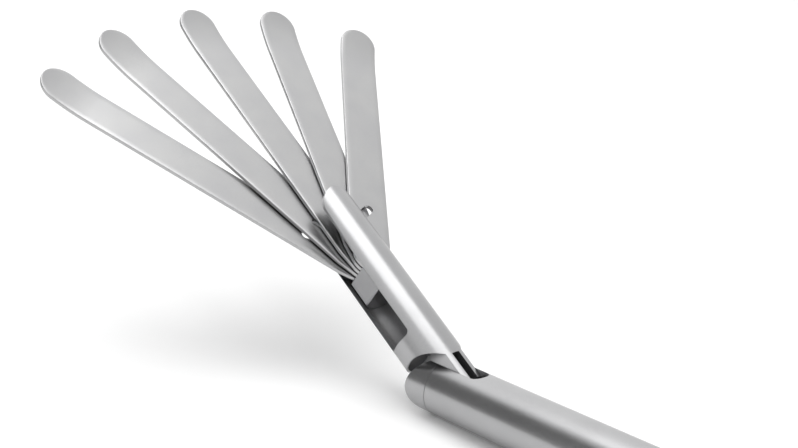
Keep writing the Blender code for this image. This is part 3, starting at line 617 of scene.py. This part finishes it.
def make_head():
    """Bored and relieved bar, slotted from the side, rounded in plan, with the tang joined on and slit."""
    front, rear = -HEAD_LENGTH - 1, -HEAD_BLANK_REAR
    profile = [(front, HEAD_R), (rear, HEAD_R), (rear, RELIEF_R), (-RELIEF_END, RELIEF_R),
               (-RELIEF_END, HEAD_BORE_R), (front, HEAD_BORE_R)]
    head = turned("bending_head_milled", profile, at_head, ring=192, step=0.75, tube=True)

    corner, out = SIDE_SLOT_CORNER_R, -HEAD_LENGTH - 3
    corner_x = -SIDE_SLOT_START - corner
    slot = [(out, -SIDE_SLOT_BOTTOM)]
    slot += arc((corner_x, -SIDE_SLOT_BOTTOM + corner), (corner, corner), -90, 0, 12)
    slot += arc((corner_x, SIDE_SLOT_TOP - corner), (corner, corner), 0, 90, 12)
    slot += [(out, SIDE_SLOT_TOP)]
    machine(head, prism("side_slot", slot, -BEYOND, BEYOND, along_y, at_head))

    rim = [(BEYOND, -BEYOND - 1), (-HEAD_RIM, -BEYOND - 1)]
    rim += arc((-RIM_CURVE_CENTRE, 0), (HEAD_RIM - RIM_CURVE_CENTRE, RIM_CURVE_HEIGHT),
               180, RIM_CURVE_END_DEG, 48)
    rim += [(rim[-1][0], BEYOND + 1), (BEYOND, BEYOND + 1)]
    machine(head, prism("rim", rim, -BEYOND, BEYOND, along_y, at_head))

    root = -TONGUE_ROOT
    plan = [(0, -OUTSIDE), (root, -OUTSIDE), (root, -TONGUE_ROOT_HALF)]
    plan += arc((TONGUE_TIP_ROUND - HEAD_LENGTH, 0), (TONGUE_TIP_ROUND, TONGUE_TIP_HALF), 270, 90, 64)
    plan += [(root, TONGUE_ROOT_HALF), (root, OUTSIDE), (0, OUTSIDE)]
    machine(head, prism("plan", plan, -BEYOND, BEYOND, along_z, at_head), "INTERSECT")

    disc_start = math.degrees(math.acos(TANG_HEEL / TANG_DISC_R))
    disc_end = math.degrees(math.asin(TANG_BOTTOM / TANG_DISC_R)) - 180
    side = [(-TANG_FRONT, -TANG_BOTTOM), (-TANG_FRONT, TANG_ROOT_BOTTOM), (-TANG_ROOT_END, TANG_ROOT_BOTTOM),
            (-TANG_ROOT_END, OUTSIDE), (TANG_HEEL, OUTSIDE)]
    side += arc((0, 0), (TANG_DISC_R, TANG_DISC_R), disc_start, disc_end, 64)
    tang = prism("tang", side, -TANG_HALF, TANG_HALF, along_y, at_head)
    machine(tang, turned("tang_round", bar(*TANG_BLANK_ENDS, HEAD_R), at_head, ring=192), "INTERSECT")
    machine(head, tang, "UNION")

    half = TANG_SLIT_HALF
    slit = rectangle((-TANG_SLIT_START, -half), (BEYOND, half))
    machine(head, prism("slit", slit, -BEYOND, BEYOND, along_z, at_head))
    roofed = rectangle((-TANG_FRONT - 1, -half), (1 - TANG_SLIT_START, half))
    machine(head, prism("roofed_slit", roofed, -BEYOND, TANG_ROOF, along_z, at_head))

    drill(head, "hinge_hole", (0, 0), HINGE_PIN_R, -TANG_HALF - 1, TANG_HALF + 1, along_y)
    drill(head, "crank_hole", crank, CRANK_PIN_R, -TANG_HALF - 1, TANG_HALF + 1, along_y)
    drill(head, "guide_hole", (-GUIDE_PIN, 0), GUIDE_PIN_R, -BEYOND, GUIDE_PIN_TOP + CLEARANCE, along_z)
    return head


# The shaft's blasted satin, which draws the lamp overhead out into a broad soft stripe along the tongue.
fit(make_head(), satin_finish, "bending_head", "head")

# Guide pin and crank pin
# Ground stainless pins pressed into the head. The guide pin crosses both tongues and runs in the blades'
# cam slots. The crank pin crosses the tang, where the angle yoke pushes it.
GUIDE_PIN_SINK = 0.1
made = pin("guide_pin_ground", GUIDE_PIN_SINK - HEAD_R, GUIDE_PIN_TOP, GUIDE_PIN_R,
           facing_z(at_head, -GUIDE_PIN))
fit(made, pin_finish, "bending_head", "guide_pin")
reach = TANG_HALF - CLEARANCE
made = pin("crank_pin_ground", -reach, reach, CRANK_PIN_R, facing_y(at_head, *crank), edge=0.06)
fit(made, pin_finish, "bending_head", "crank_pin")

# Drive block
# The block slides in the head's bore and carries the pivot of the blades between two lugs. It is turned to
# fit the bore and milled, with its rear edges chamfered, and keeps a round pocket for the blades' tails.
BLOCK_REAR = 22.1
BLOCK_FRONT = 27.05
BLOCK_FLAT_HALF = 3.5
BLOCK_CHAMFER = 0.25
BLOCK_R = 4.2
LUG_R = 1.6
BLADE_TAIL_R = 3.4
POCKET_CLEARANCE = 0.15
STACK_BOTTOM, STACK_TOP = -1.85, 2.45
PIVOT_PIN_R = 0.9
CABLE_R = 0.75
FERRULE_SOCKET = 2.2


def make_block():
    """Plan of the block with its lugs carried through the bore, trimmed round, then pocketed and drilled."""
    flat, chamfer = BLOCK_FLAT_HALF, BLOCK_CHAMFER
    near_side = [(-BLOCK_REAR, flat - chamfer), (-BLOCK_REAR - chamfer, flat), (-BLOCK_FRONT, flat)]
    far_side = [(x, -y) for x, y in reversed(near_side)]
    lugs = arc((-PIVOT, 0), (LUG_R, LUG_R), 90, 270, 32)
    plan = near_side + [(-BLOCK_FRONT, LUG_R)] + lugs + [(-BLOCK_FRONT, -LUG_R)] + far_side
    block = turned("drive_block_milled", bar(-PIVOT - 4, 2 - BLOCK_REAR, BLOCK_R), at_head, step=0.75)
    machine(block, prism("block_plan", plan, -BEYOND, BEYOND, along_z, at_head), "INTERSECT")
    pocket = circle((-PIVOT, 0), BLADE_TAIL_R + POCKET_CLEARANCE, 144)
    machine(block, prism("pocket", pocket, STACK_BOTTOM - POCKET_CLEARANCE, STACK_TOP + POCKET_CLEARANCE,
                         along_z, at_head))
    drill(block, "pivot_hole", (-PIVOT, 0), PIVOT_PIN_R, -BEYOND, BEYOND, along_z)
    socket = bar(-BLOCK_REAR - FERRULE_SOCKET, 1 - BLOCK_REAR, CABLE_R + CLEARANCE)
    machine(block, turned("ferrule_socket", socket, at_head, ring=48))
    return block


BLOCK_COLOUR = "#9C9C9D"
BLOCK_DARK = "#929294"
# Left as milled and passivated, which makes its flats greyer and duller than the head.
block_finish = steel("milled_stainless_block", (BLOCK_DARK, BLOCK_COLOUR), (0.30, 0.38), 0.05)
fit(make_block(), block_finish, "carriage", "drive_block")

# Pivot pin and ferrule
# The blades turn on a ground pin pressed through the lugs. The drive cable ends in a drawn stainless
# ferrule, swaged on and soldered into the block.
FERRULE_START = 24.25
FERRULE_END = 14.0
reach = math.sqrt(BLOCK_R ** 2 - (PIVOT_PIN_R + CLEARANCE) ** 2) - CLEARANCE
made = pin("pivot_pin_ground", -reach, reach, PIVOT_PIN_R, facing_z(at_head, -PIVOT))
fit(made, pin_finish, "carriage", "pivot_pin")
made = pin("cable_ferrule_swaged", -FERRULE_START, -FERRULE_END, CABLE_R, at_head, edge=0.12)
fit(made, pin_finish, "carriage", "cable_ferrule")

# Blades
# Five strips of hard stainless sheet, blanked to a round tip and tail, with their tips curved up a little
# and all edges rounded so that they don't hurt tissue. Each has a pivot hole and a cam slot of its own.
BLADE_LENGTH = 65.3
BLADE_WIDTH = 7.8
BLADE_THICKNESS = 0.7
BLADE_PITCH = 0.9
STACK_CENTRE = 0.3
BLADE_TAPER_END = 3.5
BLADE_TAIL_FROM_DEG = 84
BLADE_TIP_RISE = 1.3
BLADE_TIP_CURVE = 11.0
BLADE_EDGE_R = 0.16
BLADE_HOLE_R = 1.0
CAM_SLOT_HALF = 0.93
FAN_TRAVEL = 9.0
SPREAD_DEG = {"lowest_blade": -34.5, "second_blade": -18.5, "carriage": 0.0, "fourth_blade": 17.0,
              "highest_blade": 34.0}


def blade_half_outline(inset):
    """Half the plan of a blade from tip to tail, as x and y, all of it set in from the edge by inset.

    It is a quarter circle, a straight side, a short taper and the round tail.
    """
    half, tail_r = BLADE_WIDTH / 2, BLADE_TAIL_R
    round_tip = np.radians(np.linspace(0, 90, 33))
    round_tail = np.radians(np.linspace(BLADE_TAIL_FROM_DEG, 0, 25))
    straight = np.linspace(half - BLADE_LENGTH, -BLADE_TAPER_END, 70)[1:]
    x = np.concatenate([half - BLADE_LENGTH - (half - inset) * np.cos(round_tip), straight,
                        (tail_r - inset) * np.cos(round_tail)])
    y = np.concatenate([(half - inset) * np.sin(round_tip), np.full(len(straight), half - inset),
                        (tail_r - inset) * np.sin(round_tail)])
    return x, y


def make_blade(number, spread_deg):
    """Blade as a skin whose rings run round its cross-section, from the tip to the tail.

    A ring goes over the top, round one edge by a quarter circle above and below, back underneath and
    round the other edge. The tip rises with the square of the distance past the start of its curve.
    """
    middle = STACK_CENTRE + (number - 3) * BLADE_PITCH
    low, high = middle - 1, middle + 1
    share = np.linspace(-1, 1, 9)
    x_flat, y_flat = blade_half_outline(BLADE_EDGE_R)
    flat_x = np.repeat(x_flat[:, None], len(share), axis=1)
    flat_y = y_flat[:, None] * share
    flat_z = np.full(flat_x.shape, BLADE_THICKNESS / 2)
    rim_x, rim_y, rim_z = [], [], []
    for turn_deg in (30, 60, 90):
        turn = math.radians(turn_deg)
        x, y = blade_half_outline(BLADE_EDGE_R * (1 - math.sin(turn)))
        rim_x.append(x)
        rim_y.append(y)
        rim_z.append(np.full(len(x), BLADE_THICKNESS / 2 - BLADE_EDGE_R * (1 - math.cos(turn))))
    rim_x, rim_y, rim_z = np.stack(rim_x, 1), np.stack(rim_y, 1), np.stack(rim_z, 1)
    x = np.concatenate([flat_x, rim_x, rim_x[:, ::-1], flat_x, rim_x, rim_x[:, ::-1]], axis=1)
    y = np.concatenate([flat_y, rim_y, rim_y[:, ::-1], -flat_y, -rim_y, -rim_y[:, ::-1]], axis=1)
    z = np.concatenate([flat_z, rim_z, -rim_z[:, ::-1], -flat_z, -rim_z, rim_z[:, ::-1]], axis=1)
    past = np.clip(-x - (BLADE_LENGTH - BLADE_TIP_CURVE), 0, None) / BLADE_TIP_CURVE
    grid = np.stack([x, y, z + middle + BLADE_TIP_RISE * past ** 2], axis=-1)
    place = at_head @ Matrix.Translation((-PIVOT, 0, 0)) @ Matrix.Rotation(-math.radians(spread_deg), 4, "Z")
    blade = skin(f"blade_{number}_blanked", grid, place)

    machine(blade, prism("pivot_hole", circle((0, 0), BLADE_HOLE_R), low, high, along_z, place))
    machine(blade, prism("cam_slot", cam_slot(spread_deg), low, high, along_z, place))
    return blade


def cam_slot(spread_deg):
    """Outline of a blade's cam slot, round at both ends.

    Its centre line is a spiral about the pivot: the radius grows evenly by the block's travel, while the
    angle shrinks evenly from the blade's spread to nothing.
    """
    share = np.linspace(0, 1, 33)
    radius = GUIDE_PIN - PIVOT + FAN_TRAVEL * share
    angle = -math.radians(spread_deg) * (1 - share)
    centre = np.stack([-radius * np.cos(angle), radius * np.sin(angle)], axis=-1)
    heading = np.gradient(centre, axis=0)
    heading /= np.linalg.norm(heading, axis=1, keepdims=True)
    side = np.stack([-heading[:, 1], heading[:, 0]], axis=-1)
    turn = np.radians(np.linspace(0, 180, 17))[1:-1, None]
    far_cap = centre[-1] + CAM_SLOT_HALF * (side[-1] * np.cos(turn) + heading[-1] * np.sin(turn))
    near_cap = centre[0] - CAM_SLOT_HALF * (side[0] * np.cos(turn) + heading[0] * np.sin(turn))
    left, right = centre + side * CAM_SLOT_HALF, centre - side * CAM_SLOT_HALF
    return np.concatenate([left, far_cap, right[::-1], near_cap])


BLADE_COLOUR = "#B2B2B2"
BLADE_DARK = "#ADADAE"
# Rolled sheet, blasted on both faces, which gives wide even greys that change softly along the blade.
blade_finish = steel("satin_blasted_stainless_sheet", (BLADE_DARK, BLADE_COLOUR), (0.26, 0.34), 0.06)
for number, (body, spread_deg) in enumerate(SPREAD_DEG.items(), start=1):
    fit(make_blade(number, spread_deg), blade_finish, body, f"blade_{number}")

# Drive cable
# A stranded stainless cable carries the block's push and pull round the joint. Six strands are laid round a
# core, and its front end goes into the ferrule. It is made in two lengths, one in the head and one through
# the joint, both left fixed where they lie.
CABLE_FRONT = 13.7
CABLE_REAR = 6.0
CABLE_BEND_START = 4.5
STRANDS = 6
CABLE_LAY = 9.0
CABLE_RING = 72
CABLE_FRONT_ROWS = 80


def cable_rows():
    """Middle line and skin of the whole cable: straight, round a parabola at the hinge, and straight again.

    Across the cable the radius follows the outer strands, each a third of the cable's radius, which lie on
    a circle of two thirds. Along the cable the strands turn once in each lay. The trace under the root
    keeps it from falling below nothing where two strands meet.
    """
    out = np.array([-math.cos(bend), 0.0, math.sin(bend)])
    back = np.array([1.0, 0.0, 0.0])
    first, last = out * CABLE_BEND_START, back * CABLE_BEND_START
    share = np.linspace(0, 1, 60)[:, None]
    curve = first * (1 - share) ** 2 + last * share ** 2
    front = out * CABLE_FRONT + (first - out * CABLE_FRONT) * np.linspace(0, 1, CABLE_FRONT_ROWS)[:-1, None]
    rear = last + (back * CABLE_REAR - last) * np.linspace(0, 1, 16)[1:, None]
    line = np.concatenate([front, curve, rear])
    along = np.gradient(line, axis=0)
    along /= np.linalg.norm(along, axis=1, keepdims=True)
    across = np.array([0.0, 1.0, 0.0])
    over = np.cross(along, across)
    run = np.concatenate([[0], np.cumsum(np.linalg.norm(np.diff(line, axis=0), axis=1))])
    angle = np.arange(CABLE_RING) * 2 * np.pi / CABLE_RING
    lobe = np.mod((angle + (2 * np.pi * run / CABLE_LAY)[:, None]) * STRANDS / (2 * np.pi), 1) - 0.5
    lobe *= 2 * np.pi / STRANDS
    strand_r = CABLE_R / 3
    radius = 2 * strand_r * np.cos(lobe) + np.sqrt(strand_r ** 2 - (2 * strand_r * np.sin(lobe)) ** 2 + 1e-9)
    ring = across * np.cos(angle)[None, :, None] + over[:, None, :] * np.sin(angle)[None, :, None]
    return line, line[:, None, :] + ring * radius[..., None]


def make_cable(name, rows):
    """The given rows of the cable, closed at both ends."""
    line, grid = cable_rows()
    ends = np.repeat(line[rows][[0, -1], None, :], CABLE_RING, axis=1)
    return skin(name, np.concatenate([ends[:1], grid[rows], ends[1:]]))


def on_cable(distance):
    """Place in metres that lies in front of the hinge on the head's line, or behind it on the shaft's."""
    return at_head @ Vector((-distance, 0, 0)) if distance > 0 else at_hinge @ Vector((-distance, 0, 0))


# Cold drawn wire is bright, and its round strands break the shine into short slanting glints.
cable_finish = steel("drawn_stainless_wire", (PIN_DARK, PIN_COLOUR), (0.24, 0.32), 0.08)
made = make_cable("drive_cable_in_head", slice(0, CABLE_FRONT_ROWS))
fit(made, cable_finish, "carriage", "drive_cable", sharp_deg=50,
    bends_to=("bending_head", on_cable(CABLE_FRONT - 1), on_cable(CABLE_BEND_START)))
made = make_cable("drive_cable_in_joint", slice(CABLE_FRONT_ROWS - 1, None))
fit(made, cable_finish, "bending_head", "drive_cable", sharp_deg=50,
    bends_to=("shaft_and_handle", on_cable(CABLE_BEND_START), on_cable(-CABLE_BEND_START)))

# Inner drive
# A tube with a forked end pushes the head round, and the drive rod runs through it to the cable. Each has
# a carrier in the core tube, whose two pins run in a wheel's groove. They are drawn and milled stainless.
# Without blasting the steel is an even middling grey, seen only through openings. The forms are the frame's.
inner_finish = steel("drawn_and_milled_stainless", (SATIN_STEEL_DARK, SATIN_STEEL_COLOUR), (0.30, 0.38), 0.08)
for node in ("angle_yoke", "angle_tube", "drive_rod", "angle_carrier", "fan_carrier", "core_tube",
             "angle_drive_pin_1", "angle_drive_pin_2", "fan_drive_pin_1", "fan_drive_pin_2"):
    for slot in frame["nodes"][node].material_slots:
        slot.material = inner_finish

# Collar nut
# A six-sided stainless nut at the handle's front, polished, with the corners of its front turned off. It
# clamps the shaft tube.
COLLAR_LENGTH = 9.0
COLLAR_FLATS = 15.0
COLLAR_CHAMFER = 1.2
COLLAR_REAR_CHAMFER = 0.6
COLLAR_CORNER_OFF = 0.25
CORNER_ROUNDING = 0.12
CORNER_SPAN = 0.72
at_handle = at_hinge @ Matrix.Translation((SHAFT_LENGTH, 0, 0))


def softly_least(radii, rounding):
    """The least of several radii, with the corner where one takes over from another rounded.

    It is minus the rounding times the logarithm of the sum of exp(-radius / rounding).
    """
    radii = np.stack(np.broadcast_arrays(*radii))
    least = radii.min(axis=0)
    return least - rounding * np.log(np.exp((least - radii) / rounding).sum(axis=0))


def polygon_radius(angle, flats, sides, rounding):
    """Radius of a regular polygon at each angle, with a flat on top.

    It is the least of half the width across flats over the cosine of the angle from the middle of each side.
    A floor under the cosine leaves out the sides that face away.
    """
    middle = 2 * np.pi * np.arange(sides) / sides
    facing = np.cos(angle[None, :] - middle[:, None])
    return softly_least(list(flats / 2 / np.maximum(facing, 0.2)), rounding)


def milled_bar(name, start, end, envelope, across, bore, step=1.6, ring=384):
    """A turned and milled bar with a bore, which is blind where its last radius is nothing.

    At each place the radius is the least of the cross-section's radius and the turned envelope's, with
    rounded corners between them. Rows lie close together near the envelope's corners. The skin starts at the
    bore's far end, comes forward along it and goes back along the outside.
    """
    angle = (np.arange(ring) + 0.5) * 2 * np.pi / ring
    places = [np.arange(start, end, step), [end]]
    for x, _ in envelope:
        places.append(np.linspace(x - CORNER_SPAN, x + CORNER_SPAN, 13))
    x = np.unique(np.clip(np.round(np.concatenate(places), 4), start, end))
    turned_r = np.interp(x, [point[0] for point in envelope], [point[1] for point in envelope])
    outer = softly_least([turned_r[:, None], across(angle)[None, :]], CORNER_ROUNDING)
    inner = profile_rows(bore[::-1], step=4.0)
    blind = bore[-1][1] == 0
    end_face = np.zeros((1 if blind else 0, ring))
    rows_x = np.concatenate([inner[:, 0], x, np.full(len(end_face), end)])
    rows_r = np.concatenate([np.repeat(inner[:, 1:], ring, axis=1), outer, end_face])
    return skin(name, round_x(rows_x, rows_r, angle), at_handle, tube=not blind)


def make_collar():
    """Hexagon bar, its corners turned off more in front than behind."""
    corner = COLLAR_FLATS / 2 / math.cos(math.pi / 6) - COLLAR_CORNER_OFF
    envelope = [(0, corner - COLLAR_CHAMFER), (COLLAR_CHAMFER, corner),
                (COLLAR_LENGTH - COLLAR_REAR_CHAMFER, corner), (COLLAR_LENGTH, corner - COLLAR_REAR_CHAMFER)]
    bore = [(0, SHAFT_R + CLEARANCE), (COLLAR_LENGTH, SHAFT_R + CLEARANCE)]
    return milled_bar("collar_nut_polished", 0, COLLAR_LENGTH, envelope,
                      lambda angle: polygon_radius(angle, COLLAR_FLATS, 6, rounding=0.08), bore, step=0.8)


# Polished on a wheel, it mirrors the room with little blur, and its edges catch bright lines.
polished_finish = steel("polished_stainless", ("#C9C9CA", "#CFCFD0"), (0.13, 0.19), 0.06, relief=0.0003,
                        edge=0.1)
fit(make_collar(), polished_finish, "shaft_and_handle", "collar_nut", sharp_deg=40)

# Handle sections
# Three eight-sided sections of satin stainless: the front one tapers to the collar, the grip lies in the
# palm, and the end cap closes the handle. Each is bored, and held on the core tube by a set screw.
HANDLE_LENGTH = 160.0
HANDLE_FLATS = 24.0
HANDLE_CORNER_R = 12.7
HANDLE_CHAMFER = 1.0
FACE_GAP = 0.3
FRONT_NOSE_R = 7.6
FRONT_NOSE_CHAMFER = 0.6
FRONT_CONE_END = 29.0
ANGLE_WHEEL_START = 38.5
ANGLE_WHEEL_WIDTH = 13.0
FAN_WHEEL_WIDTH = 17.0
END_CAP_LENGTH = 16.5
WHEEL_CLEAR = 1.0
CORE_R = 6.0
CORE_END = 152.0
SEAL_START = 20.0
SET_SCREW_R = 1.5
SET_SCREW_SINK = 0.4
SET_SCREW_FROM_EDGE = 4.5
GRIP_START = ANGLE_WHEEL_START + ANGLE_WHEEL_WIDTH + WHEEL_CLEAR
CAP_START = HANDLE_LENGTH - END_CAP_LENGTH
FAN_WHEEL_START = CAP_START - WHEEL_CLEAR - FAN_WHEEL_WIDTH


def eight_sided(angle):
    """Radius of the handle's octagon at each angle, with its corners rounded."""
    return polygon_radius(angle, HANDLE_FLATS, 8, rounding=0.15)


def make_section(name, screw_x, start, end, bore, nose=None):
    """An eight-sided bar with its corners turned off, its ends chamfered, and a hole for its set screw.

    A nose is the radius of the front end, and the place where the cone behind it ends.
    """
    radius, chamfer = HANDLE_CORNER_R, HANDLE_CHAMFER
    envelope = [(start, radius - chamfer), (start + chamfer, radius)]
    if nose:
        envelope = [(start, nose[0] - FRONT_NOSE_CHAMFER), (start + FRONT_NOSE_CHAMFER, nose[0]),
                    (nose[1], radius)]
    envelope += [(end - chamfer, radius), (end, radius - chamfer)]
    section = milled_bar(name, start, end, envelope, eight_sided, bore)
    hole = circle((screw_x, 0), SET_SCREW_R + CLEARANCE)
    return machine(section, prism("screw_hole", hole, CORE_R / 2, HANDLE_FLATS / 2 + 2, along_z, at_handle))


# Coarser beads than on the shaft leave a matt, even grip, with tones that drift slowly along the flats.
handle_finish = steel("satin_blasted_stainless_handle", ("#B4B4B5", "#BABABB"), (0.28, 0.35), 0.07,
                      cloud=14.0, edge=0.12)
front_start, front_end = COLLAR_LENGTH + FACE_GAP, ANGLE_WHEEL_START - WHEEL_CLEAR
grip_end = FAN_WHEEL_START - WHEEL_CLEAR
shaft_bore, core_bore = SHAFT_R + CLEARANCE, CORE_R + CLEARANCE
screw_places = (front_end - SET_SCREW_FROM_EDGE, GRIP_START + SET_SCREW_FROM_EDGE,
                CAP_START + SET_SCREW_FROM_EDGE)
stepped_bore = [(front_start, shaft_bore), (SEAL_START, shaft_bore), (SEAL_START, core_bore),
                (front_end, core_bore)]
grip_bore = [(GRIP_START, core_bore), (grip_end, core_bore)]
# The end cap's bore is blind, so that the handle is closed behind.
cap_bore = [(CAP_START, core_bore), (CORE_END + FACE_GAP, core_bore), (CORE_END + FACE_GAP, 0)]
front_nose = (FRONT_NOSE_R, FRONT_CONE_END)
for node, screw_x, *form in (
        ("handle_front", screw_places[0], front_start, front_end, stepped_bore, front_nose),
        ("handle_grip", screw_places[1], GRIP_START, grip_end, grip_bore),
        ("end_cap", screw_places[2], CAP_START, HANDLE_LENGTH, cap_bore)):
    made = make_section(f"{node}_satin", screw_x, *form)
    fit(made, handle_finish, "shaft_and_handle", node, sharp_deg=40)

# Set screws
# Short headless screws of stainless steel, turned and broached with a hexagon socket. They hold the handle's
# sections on the core tube and are sunk a little below the flats.
SOCKET_FLATS = 1.5
SOCKET_DEPTH = 1.2
SOCKET_POINT = 0.3
SOCKET_LEAD_IN = 0.12
SCREW_CHAMFER = 0.2


def make_set_screw(name, x):
    """Turned blank on the z axis, whose top is chamfered and broached with a hexagon socket."""
    low, high, ring = CORE_R + FACE_GAP, HANDLE_FLATS / 2 - SET_SCREW_SINK, 96
    angle = np.arange(ring) * 2 * np.pi / ring
    end_r = SET_SCREW_R - SCREW_CHAMFER
    six_sided = polygon_radius(angle, SOCKET_FLATS, 6, rounding=0.02)
    rows = [(0, low), (end_r, low), (SET_SCREW_R, low + SCREW_CHAMFER), (SET_SCREW_R, high - SCREW_CHAMFER),
            (end_r, high), (six_sided + SOCKET_LEAD_IN, high), (six_sided, high - SOCKET_LEAD_IN),
            (six_sided, high - SOCKET_DEPTH), (0, high - SOCKET_DEPTH - SOCKET_POINT)]
    radius = np.stack([np.broadcast_to(row[0], ring) for row in rows])
    height = np.repeat([[row[1]] for row in rows], ring, axis=1)
    grid = np.stack([x + radius * np.cos(angle), radius * np.sin(angle), height], axis=-1)
    return skin(name, grid, at_handle)


# A dry film against seizing makes the screws a dull dark grey.
screw_finish = steel("stainless_screw_with_dry_film", ("#7E7E80", "#8A8A8C"), (0.32, 0.42), 0.06)
for number, x in enumerate(screw_places, start=1):
    made = make_set_screw(f"set_screw_socket_{number}", x)
    fit(made, screw_finish, "shaft_and_handle", f"set_screw_{number}")

# Wheels
# The narrow wheel in front bends the head, and the wide one behind opens the fan. Both are turned from
# stainless bar, with sixteen shallow flutes for the fingers, and polished. A groove inside takes the pins.
WHEEL_R = 11.6
WHEEL_FLUTES = 16
WHEEL_FLUTE_DEPTH = 0.9
WHEEL_CHAMFER = 1.0
WHEEL_CREST_OFF = 0.15
WHEEL_WALL = 1.6
WHEEL_BORE_R = 6.15
GROOVE_R = 8.0


def fluted(angle):
    """Radius of the wheel, which dips by the square of a raised cosine at each flute."""
    return WHEEL_R - WHEEL_FLUTE_DEPTH * (0.5 - 0.5 * np.cos(WHEEL_FLUTES * angle)) ** 2


def make_wheel(name, start, width):
    """Fluted bar with chamfered ends and an inner groove."""
    end, rim, crest = start + width, WHEEL_R - WHEEL_CHAMFER, WHEEL_R + WHEEL_CREST_OFF
    envelope = [(start, rim), (start + WHEEL_CHAMFER, crest), (end - WHEEL_CHAMFER, crest), (end, rim)]
    groove = (start + WHEEL_WALL, end - WHEEL_WALL)
    bore = [(start, WHEEL_BORE_R), (groove[0], WHEEL_BORE_R), (groove[0], GROOVE_R), (groove[1], GROOVE_R),
            (groove[1], WHEEL_BORE_R), (end, WHEEL_BORE_R)]
    return milled_bar(name, start, end, envelope, fluted, bore, step=0.8)


for kind, start, width in (("angle", ANGLE_WHEEL_START, ANGLE_WHEEL_WIDTH),
                           ("fan", FAN_WHEEL_START, FAN_WHEEL_WIDTH)):
    made = make_wheel(f"{kind}_wheel_fluted", start, width)
    fit(made, polished_finish, f"{kind}_knob", f"{kind}_wheel", sharp_deg=40)

# Thrust washers and shaft seal
# The wheels run between washers cut from a pale bearing polymer, and a grey silicone ring seals the shaft.
# Both are slightly uneven and dull.
WASHER_R = 10.4
WASHER_BORE_R = 6.1
WASHER_CHAMFER = 0.1


def moulded(name, colours, roughness, speckle):
    """Unpolished plastic or rubber, whose colour, sheen and skin follow one mottle, in millimetres."""
    material, tree = blank_material(name)
    mottle = noise(tree, speckle, 3.0)
    colour = mix(tree, mottle, linear(colours[0]), linear(colours[1]))
    bump = add(tree, "ShaderNodeBump", {"Height": mottle, "Distance": 0.01 * MM, "Strength": 0.5})
    shader = add(tree, "ShaderNodeBsdfPrincipled", {"Base Color": colour, "Normal": bump.outputs[0],
                                                    "Roughness": remap(tree, mottle, target=roughness)})
    add(tree, "ShaderNodeOutputMaterial", {"Surface": shader.outputs[0]})
    return material


# Cut from rod: off-white, with a waxy half-sheen.
washer_finish = moulded("cut_bearing_polymer", ("#D8D4CA", "#E2DFD7"), (0.42, 0.55), 0.8)
for node in ("angle_washer_front", "angle_washer_rear", "fan_washer_front", "fan_washer_rear"):
    low, high = ((corner.x - hinge.x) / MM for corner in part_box(node))
    ring_profile = [(low, WASHER_R - WASHER_CHAMFER), (low + WASHER_CHAMFER, WASHER_R),
                    (high - WASHER_CHAMFER, WASHER_R), (high, WASHER_R - WASHER_CHAMFER),
                    (high, WASHER_BORE_R), (low, WASHER_BORE_R)]
    fit(turned(f"{node}_cut", ring_profile, ring=128, tube=True), washer_finish, "shaft_and_handle", node)
# Soft rubber from a mould: dark grey, with hardly a highlight.
seal_finish = moulded("moulded_grey_silicone", ("#4E5254", "#5A5E60"), (0.5, 0.65), 0.5)
for slot in frame["nodes"]["shaft_seal"].material_slots:
    slot.material = seal_finish
